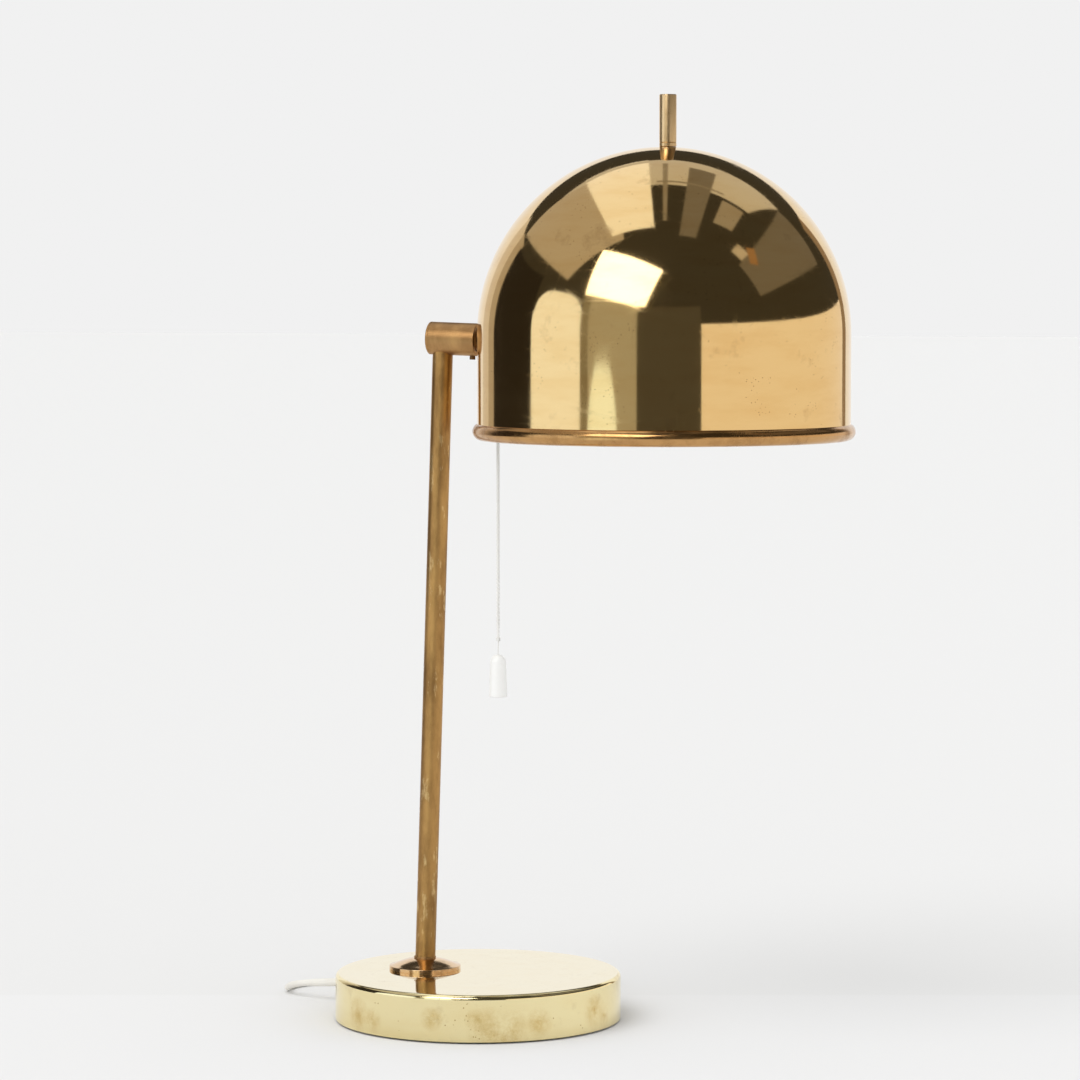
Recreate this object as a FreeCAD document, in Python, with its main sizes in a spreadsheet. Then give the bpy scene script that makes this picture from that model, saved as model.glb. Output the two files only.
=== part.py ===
import FreeCAD, Part
import math
import os
import re

import Sketcher

# Dome shade desk lamp: a brass dome on a ball joint, a leaning stem, a heavy round base.
# Millimetres. Origin: centre of the base's underside. +Z up, +X from the stem towards the shade.

doc = FreeCAD.newDocument("desk_lamp")

SIZES = [
    # base
    ("base_radius", 90.0, "outside of the turned base"),
    ("base_height", 30.0, "desk to the base's top face"),
    ("base_wall", 1.2, "sheet of the base shell"),
    ("base_edge", 3.0, "rounding of the base's top edge"),
    ("shell_lift", 1.2, "shell's lower edge above the desk"),
    ("shell_gap", 0.4, "base plate inside the shell, all round"),
    ("felt_thick", 2.0, "felt under the base plate"),
    ("felt_inset", 2.4, "felt short of the base plate"),
    ("plate_thick", 2.0, "steel base plate"),
    ("weight_inset", 4.8, "cast weight short of the shell's inside"),
    ("weight_web", 10.0, "cast weight's web under the top"),
    ("weight_rim", 18.0, "cast weight's rim, measured inwards"),
    ("plate_screw_radius", 2.0, "M4"),
    ("plate_screw_head", 3.6, "countersunk head, radius"),
    ("plate_screw_grip", 9.0, "screw inside the weight"),
    ("plate_screw_count", 3.0, "screws that hold the plate"),
    # foot of the stem
    ("stem_offset", 35.8, "stem foot behind the base's centre"),
    ("stem_lean", 1.86, "lean of the stem towards the shade, degrees"),
    ("flange_radius", 22.55, "turned flange under the stem"),
    ("flange_rim", 2.3, "height of the flange's rim"),
    ("flange_rise", 4.3, "rise of the flange from rim to stem"),
    ("flange_edge", 0.3, "chamfer of the flange's rim"),
    ("flange_groove", 0.2, "turned grooves round the rim"),
    ("foot_ring_radius", 7.0, "ring between flange and stem"),
    ("foot_ring_height", 1.4, "ring between flange and stem"),
    ("stem_radius", 6.35, "stem tube, outside"),
    ("stem_wall", 1.3, "stem tube"),
    ("nipple_radius", 5.0, "M10 x 1 threaded tube"),
    ("nipple_wall", 1.5, "threaded tube"),
    ("nipple_grip", 14.0, "threaded tube inside the stem"),
    ("nipple_reach", 16.5, "threaded tube below the base's top face"),
    ("nipple_room", 0.9, "hole round the leaning threaded tube"),
    ("thread_room", 0.1, "nut and washer round the threaded tube"),
    ("foot_washer_radius", 12.0, "washer under the weight"),
    ("foot_washer_thick", 1.6, "washer under the weight"),
    ("nut_width", 14.0, "across the flats, M10 x 1"),
    ("nut_thick", 3.0, "M10 x 1"),
    # joint
    ("pivot_height", 428.6, "desk to the crossing of stem and barrel"),
    ("barrel_radius", 10.25, "barrel, outside"),
    ("barrel_front", 23.4, "stem axis to the barrel's mouth"),
    ("barrel_back", 8.5, "stem axis to the end cap's rim"),
    ("mouth_chamfer", 0.7, "bright chamfer inside the mouth"),
    ("barrel_edge", 0.3, "chamfer outside the mouth"),
    ("lip_radius", 7.3, "opening of the barrel's mouth"),
    ("cap_thick", 1.6, "rim of the end cap"),
    ("cap_bulge", 1.1, "dome of the end cap"),
    ("cap_plug", 2.0, "end cap inside the barrel"),
    ("ball_radius", 8.0, "ball of the joint"),
    ("ball_depth", 5.0, "ball centre behind the mouth"),
    ("joint_gap", 0.04, "running clearance of ball and cup"),
    ("neck_radius", 4.3, "neck between ball and collar"),
    ("collar_radius", 8.0, "collar against the shade"),
    ("collar_thick", 2.0, "collar against the shade"),
    ("wire_bore", 2.9, "bore of the ball and its stud, radius"),
    ("cup_wall", 1.3, "friction cup behind the ball"),
    ("cup_reach", 4.5, "ball centre to the cup's front edge, backwards"),
    ("cup_bore", 3.7, "wire hole of cup, washer and ring, radius"),
    ("disc_spring_thick", 0.8, "disc spring behind the cup"),
    ("disc_spring_height", 1.3, "disc spring behind the cup"),
    ("ring_thick", 2.4, "threaded ring behind the spring"),
    ("set_screw_radius", 1.8, "set screw under the barrel"),
    ("set_screw_proud", 2.2, "set screw below the barrel"),
    ("set_screw_back", 3.5, "set screw behind the mouth"),
    ("slot_width", 0.7, "screwdriver slot"),
    ("slot_depth", 0.9, "screwdriver slot"),
    # shade
    ("wall_gap", 6.6, "barrel's mouth to the shade"),
    ("shade_radius", 115.0, "dome and skirt, outside"),
    ("sheet_thick", 0.9, "brass sheet of the shade"),
    ("skirt_height", 64.7, "rim to the dome's centre"),
    ("dome_rise", 3.7, "dome's centre above the ball's centre"),
    ("bead_radius", 5.2, "rolled bead of the rim"),
    ("bead_inset", 2.4, "bead's centre inside the skirt"),
    ("hole_room", 0.2, "sheet round stud and screw"),
    ("stud_reach", 16.0, "threaded stud inside the shade"),
    ("shade_washer_radius", 11.0, "washer inside the shade"),
    ("shade_washer_thick", 1.2, "washer inside the shade"),
    ("finial_radius", 5.25, "rod on the dome"),
    ("finial_height", 32.0, "rod on the dome"),
    ("finial_shift", 2.3, "rod off the dome's axis, away from the stem"),
    ("finial_edge", 0.5, "chamfer of the rod"),
    ("finial_washer_radius", 8.0, "washer under the dome"),
    ("finial_washer_thick", 1.5, "washer under the dome"),
    ("finial_screw_radius", 2.5, "M5"),
    ("finial_screw_grip", 12.0, "screw inside the rod"),
    ("finial_head_radius", 4.5, "screw head"),
    ("finial_head_height", 3.0, "screw head"),
    # lampholder and bulb
    ("holder_radius", 19.0, "lampholder, outside"),
    ("holder_wall", 1.6, "lampholder cap and sleeve"),
    ("holder_cap_length", 24.0, "cap over the switch"),
    ("holder_sleeve_length", 30.0, "sleeve over the thread"),
    ("holder_back", 3.0, "end wall of the cap"),
    ("holder_room", 0.3, "insert inside the sleeve"),
    ("insert_length", 10.0, "porcelain insert"),
    ("insert_overlap", 5.0, "insert inside the cap"),
    ("shell_radius", 13.9, "threaded shell, outside"),
    ("shell_wall", 0.5, "threaded shell"),
    ("shell_length", 22.0, "threaded shell"),
    ("contact_radius", 4.0, "centre contact"),
    ("contact_height", 1.6, "centre contact"),
    ("terminal_radius", 1.5, "terminal screw"),
    ("terminal_head", 2.8, "terminal screw head, radius"),
    ("terminal_head_height", 2.0, "terminal screw head"),
    ("terminal_reach", 6.0, "terminal screw inside the insert"),
    ("terminal_spread", 10.0, "terminal screw from the middle"),
    ("bulb_cap_radius", 13.1, "screw cap of the bulb"),
    ("bulb_cap_length", 23.0, "screw cap of the bulb"),
    ("bulb_play", 0.3, "bulb's tip before the centre contact"),
    ("bulb_neck", 13.0, "glass at the cap, radius"),
    ("bulb_radius", 30.0, "glass ball"),
    ("bulb_length", 78.0, "cap to the tip of the glass"),
    ("bulb_glass", 0.7, "glass wall"),
    ("bulb_neck_length", 9.0, "straight part of the neck"),
    ("bulb_shoulder", 28.5, "latitude where neck meets ball, degrees"),
    # pull switch
    ("nozzle_reach", 11.5, "nozzle axis inside the shade's wall"),
    ("nozzle_side", 14.0, "nozzle axis beside the holder's axis"),
    ("nozzle_radius", 3.4, "nozzle tube"),
    ("nozzle_mouth", 4.6, "flared mouth of the nozzle"),
    ("nozzle_flare", 2.4, "height of the flare"),
    ("nozzle_top", 5.5, "nozzle's top below the holder's axis"),
    ("nozzle_foot", 26.0, "nozzle's mouth below the holder's axis"),
    ("slider_radius", 1.5, "sliding rod of the switch"),
    ("slider_gap", 0.05, "sliding rod in the nozzle"),
    ("slider_head", 2.3, "head of the rod, radius"),
    ("slider_head_height", 2.0, "head of the rod"),
    ("slider_spare", 0.4, "head above the nozzle when pulled"),
    ("pull_travel", 5.0, "travel of the pull switch"),
    ("eye_radius", 1.7, "eye and link, to the wire's middle"),
    ("wire_radius", 0.45, "wire of eye and link"),
    ("link_play", 0.15, "link inside the eye"),
    ("pull_cord_radius", 1.15, "twisted pull cord"),
    ("pull_thread_radius", 0.5, "bare thread above the knob"),
    ("pull_thread_length", 9.1, "bare thread above the knob"),
    ("knot_radius", 1.6, "knots of the pull cord"),
    ("switch_length", 13.0, "switch block behind the insert"),
    ("switch_width", 7.0, "switch block"),
    ("switch_height", 7.5, "switch block"),
    ("switch_side", 10.0, "switch block beside the holder's axis"),
    ("switch_lift", 3.0, "switch block above the holder's axis"),
    ("knob_top_height", 232.4, "desk to the knob's top"),
    ("knob_length", 26.5, "bell knob"),
    ("knob_room", 0.15, "knob round the thread"),
    ("knob_hollow", 3.6, "knob's hollow for the knot, radius"),
    ("knob_hollow_depth", 8.0, "knob's hollow for the knot"),
    ("knob_foot", 5.6, "bell knob at its lower edge, radius"),
    ("knob_crown", 5.0, "bell knob's rounded top, radius"),
    # mains lead
    ("lead_radius", 2.1, "two-core round flex"),
    ("exit_angle", 166.0, "direction of the outlet from the base's centre, degrees"),
    ("exit_height", 14.7, "outlet above the desk"),
    ("sleeve_droop", 6.0, "sleeve below level, degrees"),
    ("sleeve_length", 39.0, "sleeve outside the base"),
    ("sleeve_root", 2.8, "sleeve in the shell, radius"),
    ("sleeve_tip", 2.4, "sleeve's end, radius"),
    ("sleeve_flange", 4.6, "sleeve's inner flange, radius"),
    ("sleeve_flange_thick", 2.0, "sleeve's inner flange"),
    ("sleeve_room", 0.7, "sleeve's flange inside the shell's wall"),
    ("sleeve_fit", 0.2, "shell's hole round the sleeve"),
    ("clamp_inset", 5.0, "cord clamp short of the cast weight's rim"),
    ("clamp_length", 22.0, "across the lead"),
    ("clamp_width", 7.0, "along the lead"),
    ("clamp_thick", 1.6, "clamp bar"),
    ("clamp_screw_radius", 1.5, "M3"),
    ("clamp_screw_spread", 7.0, "clamp screw from the lead"),
    ("clamp_screw_head", 2.8, "clamp screw head, radius"),
    ("clamp_screw_head_height", 2.0, "clamp screw head"),
    ("clamp_screw_grip", 8.0, "clamp screw inside the weight"),
    ("lead_channel", 10.0, "channel through the weight's rim, width"),
    ("lead_lift", 0.4, "lead above the base plate"),
    ("ball_room", 1.0, "lead's end behind the ball"),
    ("bend_top", 7.2, "lead's bend from barrel to stem"),
    ("bend_low", 6.6, "lead's bend under the stem"),
    ("bend_clamp", 9.0, "lead's bends before the clamp"),
    ("bend_sleeve", 40.0, "lead's bends between clamp and sleeve"),
    ("first_run", 16.0, "lead straight out of the sleeve"),
    ("last_run", 20.0, "lead straight into the coil"),
    ("lay_lift", 0.3, "free lead above the desk"),
    ("coil_back", 45.4, "coil's centre from the sleeve's tip, +X"),
    ("coil_side", 88.0, "coil's centre from the sleeve's tip, +Y"),
    ("coil_heading", 20.0, "direction in which the lead meets the coil, degrees"),
    ("coil_inner", 16.0, "least radius of the put-away coil"),
    ("coil_turns", 9.0, "turns, half of them on each layer"),
    ("coil_gap", 0.45, "between neighbouring turns"),
    ("tie_angle", 80.0, "where the band is on the coil, degrees"),
    ("tie_width", 6.0, "band round the coil"),
    ("tie_thick", 0.8, "band round the coil"),
    ("tie_room", 0.5, "band clear of the coil's sides"),
    ("tie_lift", 0.05, "band above the desk, and coil above the band"),
    ("plug_width", 35.3, "flat two-pin plug"),
    ("plug_thick", 13.7, "flat two-pin plug"),
    ("plug_front", 9.0, "straight part of the plug"),
    ("plug_taper", 26.0, "tapered part of the plug"),
    ("plug_tail", 15.0, "plug's width at the boot"),
    ("boot_length", 16.0, "boot behind the plug"),
    ("boot_root", 5.0, "boot at the plug, radius"),
    ("boot_tip", 3.2, "boot at the lead, radius"),
    ("pin_radius", 2.0, "plug pins"),
    ("pin_length", 19.0, "plug pins"),
    ("pin_spread", 9.3, "plug pin from the middle"),
    ("pin_seat", 6.0, "plug pin inside the plug"),
]
ALIASES = {alias for alias, value, note in SIZES}

# Points that the free lead goes round after its first run: x and y from the sleeve's tip, and height as a
# share of the tip's.
FREE_LEAD = [
    (-26.3, 16.0, 0.04),
    (-28.4, 32.5, 0.0),
    (-20.4, 47.3, 0.0),
    (-0.6, 56.7, 0.0),
]
# Points of the lead's tail from the coil's end to the plug: onward, sideways, and height as a share of the
# way from the plug's axis up to the coil's end.
TAIL = [
    (12.0, 0.0, 1.0),
    (26.0, 1.2, -1.4),
    (40.0, 4.2, 0.0),
    (50.0, 7.2, 0.0),
]
# An arc of a free lead takes this share of the shorter run beside it.
ARC_SHARE = 0.45

sheet = doc.addObject("Spreadsheet::Sheet", "size")
for row, (alias, value, note) in enumerate(SIZES, start=1):
    sheet.set(f"A{row}", alias)
    sheet.set(f"B{row}", str(value))
    sheet.setAlias(f"B{row}", alias)
    sheet.set(f"C{row}", note)
probe = doc.addObject("App::VarSet", "probe")
probe.addProperty("App::PropertyFloat", "value")
doc.recompute()

sub_parts = []


# ---- general helpers


def bound(text):
    """The expression with every size's alias led back to the sheet."""

    def led(word):
        return "size." + word.group() if word.group() in ALIASES else word.group()

    return re.sub(r"[a-z][a-z0-9_]*", led, text)


def number(text):
    """What an expression in the sheet's sizes comes to now."""
    probe.setExpression("value", bound(text))
    probe.recompute()
    return probe.value


def spot(x, y, z, axis=(0, 0, 1), degrees=0.0):
    return FreeCAD.Placement(FreeCAD.Vector(x, y, z), FreeCAD.Rotation(FreeCAD.Vector(*axis), degrees))


def on(frame, x=0.0, y=0.0, z=0.0):
    """A place in a frame, with the frame's own directions."""
    return frame.multiply(spot(x, y, z))


def keep(piece, label):
    """The piece is a finished sub-part, and its label names its file."""
    piece.Label = label
    sub_parts.append(piece)
    return piece


def cylinder(label, radius, height, frame):
    piece = doc.addObject("Part::Cylinder", label)
    piece.setExpression("Radius", bound(radius))
    piece.setExpression("Height", bound(height))
    piece.Placement = frame
    return piece


def box(label, length, width, height, frame):
    """A box with its middle line on the frame's X axis, standing on the frame's XY plane."""
    piece = doc.addObject("Part::Box", label)
    piece.setExpression("Length", bound(length))
    piece.setExpression("Width", bound(width))
    piece.setExpression("Height", bound(height))
    piece.Placement = on(frame, y=-number(width) / 2)
    return piece


def ball(label, radius, frame):
    piece = doc.addObject("Part::Sphere", label)
    piece.setExpression("Radius", bound(radius))
    piece.Placement = frame
    return piece


def ring(label, radius, wire, frame):
    piece = doc.addObject("Part::Torus", label)
    piece.setExpression("Radius1", bound(radius))
    piece.setExpression("Radius2", bound(wire))
    piece.Placement = frame
    return piece


def joined(label, pieces):
    piece = doc.addObject("Part::MultiFuse", label)
    piece.Shapes = pieces
    return piece


def group(label, pieces):
    """Separate like solids in one node."""
    piece = doc.addObject("Part::Compound", label)
    piece.Links = pieces
    return piece


def without(label, base, cutters):
    piece = doc.addObject("Part::Cut", label)
    piece.Base = base
    piece.Tool = cutters[0] if len(cutters) == 1 else joined(label + "_cutters", cutters)
    return piece


def segment(start, end, centre):
    """A line, or an arc the short way round its centre, and which of its ends is the start."""
    if centre is None:
        return Part.LineSegment(start, end), 1, 2
    first = math.atan2(start.y - centre.y, start.x - centre.x)
    last = math.atan2(end.y - centre.y, end.x - centre.x)
    circle = Part.Circle(centre, FreeCAD.Vector(0, 0, 1), (start - centre).Length)
    if (last - first) % (2 * math.pi) < math.pi:
        return Part.ArcOfCircle(circle, first, last), 1, 2
    return Part.ArcOfCircle(circle, last, first), 2, 1


def fix(sketch, geometry, end, across, up):
    """Ties a point of the sketch to sizes of the sheet; None leaves that direction free."""
    for kind, axis, text in (("DistanceX", -2, across), ("DistanceY", -1, up)):
        if text == "0":
            sketch.addConstraint(Sketcher.Constraint("PointOnObject", geometry, end, axis))
        elif text is not None:
            named = Sketcher.Constraint(kind, -1, 1, geometry, end, number(text))
            index = sketch.addConstraint(named)
            sketch.setExpression(f"Constraints[{index}]", bound(text))


def outlined(body, role, corners):
    """A closed sketch. A corner is (across, up), or (across, up, centre across, centre up) after an arc."""
    sketch = body.newObject("Sketcher::SketchObject", body.Name + "_outline")
    plane = [feature for feature in body.Origin.OriginFeatures if feature.Role == role][0]
    sketch.AttachmentSupport = [(plane, "")]
    sketch.MapMode = "FlatFace"
    points = [FreeCAD.Vector(number(corner[0]), number(corner[1]), 0) for corner in corners]
    ends = []
    for index, corner in enumerate(corners):
        centre = FreeCAD.Vector(number(corner[2]), number(corner[3]), 0) if len(corner) == 4 else None
        shape, start, end = segment(points[index - 1], points[index], centre)
        sketch.addGeometry(shape)
        ends.append((start, end))
    for index in range(len(corners)):
        following = (index + 1) % len(corners)
        meet = Sketcher.Constraint("Coincident", index, ends[index][1], following, ends[following][0])
        sketch.addConstraint(meet)
    for index, corner in enumerate(corners):
        fix(sketch, index, ends[index][1], corner[0], corner[1])
        if len(corner) == 4:
            fix(sketch, index, 3, corner[2], None)
    return sketch


def turned(label, corners, frame):
    """A solid of revolution about the frame's Z axis, from its half outline (radius, height)."""
    body = doc.addObject("PartDesign::Body", label)
    sketch = outlined(body, "XZ_Plane", corners)
    revolution = body.newObject("PartDesign::Revolution", label + "_turned")
    revolution.Profile = sketch
    revolution.ReferenceAxis = (sketch, ["V_Axis"])
    revolution.Angle = 360
    body.Placement = frame
    return body


def disc(label, radius, bore, height, frame):
    """A round plate or washer with a bore."""
    corners = [(bore, "0"), (radius, "0"), (radius, height), (bore, height)]
    return turned(label, corners, frame)


def hexagon(label, width, height, bore, frame):
    """A nut: a prism with a bore."""
    prism = doc.addObject("Part::Prism", label + "_prism")
    prism.Polygon = 6
    prism.setExpression("Circumradius", bound(f"{width} / 2 / cos(30 deg)"))
    prism.setExpression("Height", bound(height))
    prism.Placement = frame
    hole = cylinder(label + "_bore", bore, height, frame)
    return without(label, prism, [hole])


def screw(label, radius, length, head, head_height, frame):
    """A screw whose head stands on the frame's XY plane and whose shank runs down from it."""
    shank = cylinder(label + "_shank", radius, length, on(frame, z=-number(length)))
    cap = cylinder(label + "_head", head, head_height, frame)
    return joined(label, [shank, cap])


def rounded_path(points, radii=None):
    """Straight runs joined by tangent arcs, of given radii or as large as the shorter run allows."""
    edges = []
    used = []
    start = points[0]
    for index, (before, corner, after) in enumerate(zip(points, points[1:], points[2:])):
        back = before - corner
        ahead = after - corner
        half_turn = (math.pi - back.getAngle(ahead)) / 2
        shorter = min(back.Length, ahead.Length)
        radius = radii[index] if radii else ARC_SHARE * shorter / math.tan(half_turn)
        trim = radius * math.tan(half_turn)
        back.normalize()
        ahead.normalize()
        inward = back + ahead
        inward.normalize()
        enter = corner + back * trim
        leave = corner + ahead * trim
        middle = corner + inward * (radius / math.cos(half_turn) - radius)
        edges.append(Part.LineSegment(start, enter).toShape())
        edges.append(Part.Arc(enter, middle, leave).toShape())
        used.append(round(radius, 1))
        start = leave
    edges.append(Part.LineSegment(start, points[-1]).toShape())
    print("bend radii", used)
    return Part.Wire(edges)


def tube(label, path, radius):
    """A round tube along a smooth path."""
    start = path.Edges[0]
    mouth = Part.Circle(start.valueAt(start.FirstParameter), start.tangentAt(start.FirstParameter), radius)
    solid = path.makePipeShell([Part.Wire(mouth.toShape())], True, False)
    piece = doc.addObject("Part::Feature", label)
    piece.Shape = solid
    expected = math.pi * radius * radius * path.Length
    print(f"{label}: length {path.Length:.1f}, volume {solid.Volume / expected:.4f} of section x length")
    return piece


# ---- frames that several pieces share

LEAN = number("stem_lean")
stem_frame = spot(-number("stem_offset"), 0, number("base_height"), (0, 1, 0), LEAN)
foot_top = "flange_rim + flange_rise + foot_ring_height"
pivot = FreeCAD.Vector(
    number("(pivot_height - base_height) * tan(stem_lean * 1 deg) - stem_offset"), 0, number("pivot_height")
)
barrel_turn = FreeCAD.Rotation(FreeCAD.Vector(0, 1, 0), 90 + LEAN)
pivot_frame = FreeCAD.Placement(pivot, barrel_turn)
barrel_frame = on(pivot_frame, z=-number("barrel_back"))
mouth = "(barrel_back + barrel_front)"
seat = f"({mouth} - ball_depth)"
ball_centre = on(pivot_frame, z=number("barrel_front - ball_depth")).Base
head_frame = FreeCAD.Placement(ball_centre, FreeCAD.Rotation(FreeCAD.Vector(0, 1, 0), 90))
wall = number("ball_depth + wall_gap")
wall_frame = on(head_frame, z=wall)
shade_x = wall_frame.Base.x + number("shade_radius")
rim_height = ball_centre.z + number("dome_rise - skirt_height")
shade_frame = spot(shade_x, 0, rim_height)
exit_turn = FreeCAD.Rotation(FreeCAD.Vector(0, 0, 1), number("exit_angle"))
exit_tilt = FreeCAD.Rotation(FreeCAD.Vector(0, 1, 0), 90 + number("sleeve_droop"))
outlet = exit_turn.multVec(FreeCAD.Vector(number("base_radius"), 0, 0))
outlet.z = number("exit_height")
exit_frame = FreeCAD.Placement(outlet, exit_turn.multiply(exit_tilt))
radial_frame = FreeCAD.Placement(FreeCAD.Vector(0, 0, 0), exit_turn)


# ---- base


def base_shell():
    """Spun cup, open below, with a rounded top edge."""
    inner = "(base_radius - base_wall)"
    ceiling = "(base_height - base_wall)"
    inner_edge = "(base_edge - base_wall)"
    corners = [
        ("0", ceiling),
        ("0", "base_height"),
        ("base_radius - base_edge", "base_height"),
        ("base_radius", "base_height - base_edge", "base_radius - base_edge", "base_height - base_edge"),
        ("base_radius", "shell_lift"),
        (inner, "shell_lift"),
        (inner, "base_height - base_edge"),
        (f"{inner} - {inner_edge}", ceiling, "base_radius - base_edge", "base_height - base_edge"),
    ]
    cup = turned("base_shell_cup", corners, spot(0, 0, 0))
    reach = "4 * base_wall"
    stem_hole = cylinder("base_shell_stem_hole", "nipple_radius + nipple_room", reach, spot(
        -number("stem_offset"), 0, number("base_height - 2 * base_wall")))
    lead_hole = cylinder("base_shell_lead_hole", "sleeve_root + sleeve_fit", reach, on(
        exit_frame, z=-number("2.5 * base_wall")))
    keep(without("base_shell", cup, [stem_hole, lead_hole]), "base_shell")


def plate_screw_frames():
    """Screws evenly round the weight's rim, clear of the lead's channel."""
    count = int(number("plate_screw_count"))
    reach = number("base_radius - base_wall - weight_inset - weight_rim / 2")
    turns = [number("exit_angle") + 360 * (index + 0.5) / count for index in range(count)]
    return [spot(0, 0, number("felt_thick"), (0, 0, 1), turn).multiply(spot(reach, 0, 0)) for turn in turns]


def base_plate_screws(label):
    """Countersunk screws, or the holes that take them."""
    pieces = []
    for index, frame in enumerate(plate_screw_frames()):
        length = "plate_thick + plate_screw_grip"
        corners = [
            ("0", "0"),
            ("plate_screw_head", "0"),
            ("plate_screw_radius", "0.8 * plate_thick"),
            ("plate_screw_radius", length),
            ("0", length),
        ]
        pieces.append(turned(f"{label}_{index + 1}", corners, frame))
    return pieces


def base_weight():
    """Cast iron disc, hollow below for the wiring, with a boss for the cord clamp."""
    outside = "(base_radius - base_wall - weight_inset)"
    recess = f"({outside} - weight_rim)"
    low = "(felt_thick + plate_thick)"
    top = "(base_height - base_wall)"
    web = f"({top} - weight_web)"
    corners = [
        ("0", web),
        ("0", top),
        (f"{outside} - base_edge", top),
        (outside, f"{top} - base_edge"),
        (outside, low),
        (recess, low),
        (recess, web),
    ]
    casting = turned("base_weight_disc", corners, spot(0, 0, 0))
    boss_floor = number("exit_height + lead_radius")
    boss_height = f"{web} - exit_height - lead_radius + weight_web / 2"
    boss = box("base_weight_boss", "clamp_width", "clamp_length", boss_height, on(
        radial_frame, x=number(f"{clamp_reach} - clamp_width / 2"), z=boss_floor))
    stem_hole = cylinder("base_weight_stem_hole", "nipple_radius + nipple_room", "base_height", spot(
        -number("stem_offset"), 0, 0))
    channel = box("base_weight_channel", "base_radius", "lead_channel", "exit_height + lead_channel / 2", on(
        radial_frame, x=number(f"{recess} - 1")))
    taps = [
        cylinder(f"base_weight_tap_{index}", "clamp_screw_radius", "clamp_screw_grip", frame)
        for index, frame in enumerate(clamp_screw_frames(boss_floor))
    ]
    holes = base_plate_screws("base_weight_screw_hole")
    solid = joined("base_weight_solid", [casting, boss])
    keep(without("base_weight", solid, [stem_hole, channel] + taps + holes), "base_weight")


def base_underside():
    """Steel plate, its screws and the felt that covers them."""
    plate_radius = "(base_radius - base_wall - shell_gap)"
    plate = cylinder("base_plate_disc", plate_radius, "plate_thick", spot(0, 0, number("felt_thick")))
    holes = base_plate_screws("base_plate_hole")
    keep(without("base_plate", plate, holes), "base_plate")
    keep(group("plate_screws", base_plate_screws("plate_screw")), "plate_screws")
    felt = cylinder("felt_pad", f"{plate_radius} - felt_inset", "felt_thick", spot(0, 0, 0))
    keep(felt, "felt_pad")


# ---- cord clamp and outlet
clamp_reach = "(base_radius - base_wall - weight_inset - weight_rim - clamp_inset)"




def clamp_screw_frames(height):
    """Two screws, one each side of the lead, running up into the weight."""
    sides = (-number("clamp_screw_spread"), number("clamp_screw_spread"))
    return [on(radial_frame, x=number(f"{clamp_reach}"), y=side, z=height) for side in sides]


def cord_clamp():
    """Bar under the lead and the two screws that press it up."""
    under = number("exit_height - lead_radius - clamp_thick")
    frame = on(radial_frame, x=number(f"{clamp_reach} - clamp_width / 2"), z=under)
    bar = box("cord_clamp_bar", "clamp_width", "clamp_length", "clamp_thick", frame)
    height = "(clamp_thick + 2 * lead_radius)"
    holes = [
        cylinder(f"cord_clamp_hole_{index}", "clamp_screw_radius", height, place)
        for index, place in enumerate(clamp_screw_frames(under))
    ]
    keep(without("cord_clamp", bar, holes), "cord_clamp")
    screws = []
    for index, place in enumerate(clamp_screw_frames(under)):
        upside_down = place.multiply(spot(0, 0, 0, (1, 0, 0), 180))
        length = f"{height} + clamp_screw_grip"
        screws.append(screw(
            f"clamp_screw_{index}", "clamp_screw_radius", length,
            "clamp_screw_head", "clamp_screw_head_height", upside_down))
    keep(group("clamp_screws", screws), "clamp_screws")


def cord_sleeve():
    """Soft tapered sleeve with a flange behind the shell's wall."""
    flange = "sleeve_flange_thick"
    throat = f"({flange} + base_wall + sleeve_room)"
    tip = f"({throat} + sleeve_length)"
    corners = [
        ("lead_radius", "0"),
        ("sleeve_flange", "0"),
        ("sleeve_flange", flange),
        ("sleeve_root", flange),
        ("sleeve_root", throat),
        ("sleeve_tip", tip),
        ("lead_radius", tip),
    ]
    keep(turned("cord_sleeve", corners, on(exit_frame, z=-number(throat))), "cord_sleeve")


# ---- stem and its foot


def stem_foot():
    """Turned flange, ring, threaded tube, washer and nut."""
    foot = spot(-number("stem_offset"), 0, number("base_height"))
    hole = "(nipple_radius + nipple_room)"
    upper = "(flange_rim + flange_rise)"
    corners = [(hole, "0"), ("flange_radius - flange_groove", "0"), ("flange_radius", "flange_groove")]
    for share in ("0.32", "0.68"):
        level = f"flange_rim * {share}"
        corners += [
            ("flange_radius", f"{level} - flange_groove"),
            ("flange_radius - flange_groove", level),
            ("flange_radius", f"{level} + flange_groove"),
        ]
    corners += [
        ("flange_radius", "flange_rim - flange_edge"),
        ("flange_radius - flange_edge", "flange_rim"),
        ("(flange_radius + foot_ring_radius) / 2", "flange_rim + 0.62 * flange_rise"),
        ("foot_ring_radius", upper),
        (hole, upper),
    ]
    keep(turned("stem_flange", corners, foot), "stem_flange")
    foot_ring = disc("stem_foot_ring", "foot_ring_radius", hole, "foot_ring_height", on(
        foot, z=number(upper)))
    keep(foot_ring, "stem_foot_ring")

    length = f"{foot_top} + nipple_grip + nipple_reach"
    threaded = disc("stem_nipple", "nipple_radius", "nipple_radius - nipple_wall", length, on(
        stem_frame, z=-number("nipple_reach")))
    keep(threaded, "stem_nipple")

    bore = "nipple_radius + thread_room"
    below_web = number("base_height - base_wall - weight_web")
    washer_floor = below_web - number("foot_washer_thick")
    washer_frame = spot(stem_axis_x(washer_floor + number("foot_washer_thick / 2")), 0, washer_floor)
    washer = disc("foot_washer", "foot_washer_radius", bore, "foot_washer_thick", washer_frame)
    keep(washer, "foot_washer")
    nut_floor = washer_floor - number("nut_thick")
    nut_frame = spot(stem_axis_x(nut_floor + number("nut_thick / 2")), 0, nut_floor)
    keep(hexagon("foot_nut", "nut_width", "nut_thick", bore, nut_frame), "foot_nut")


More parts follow.
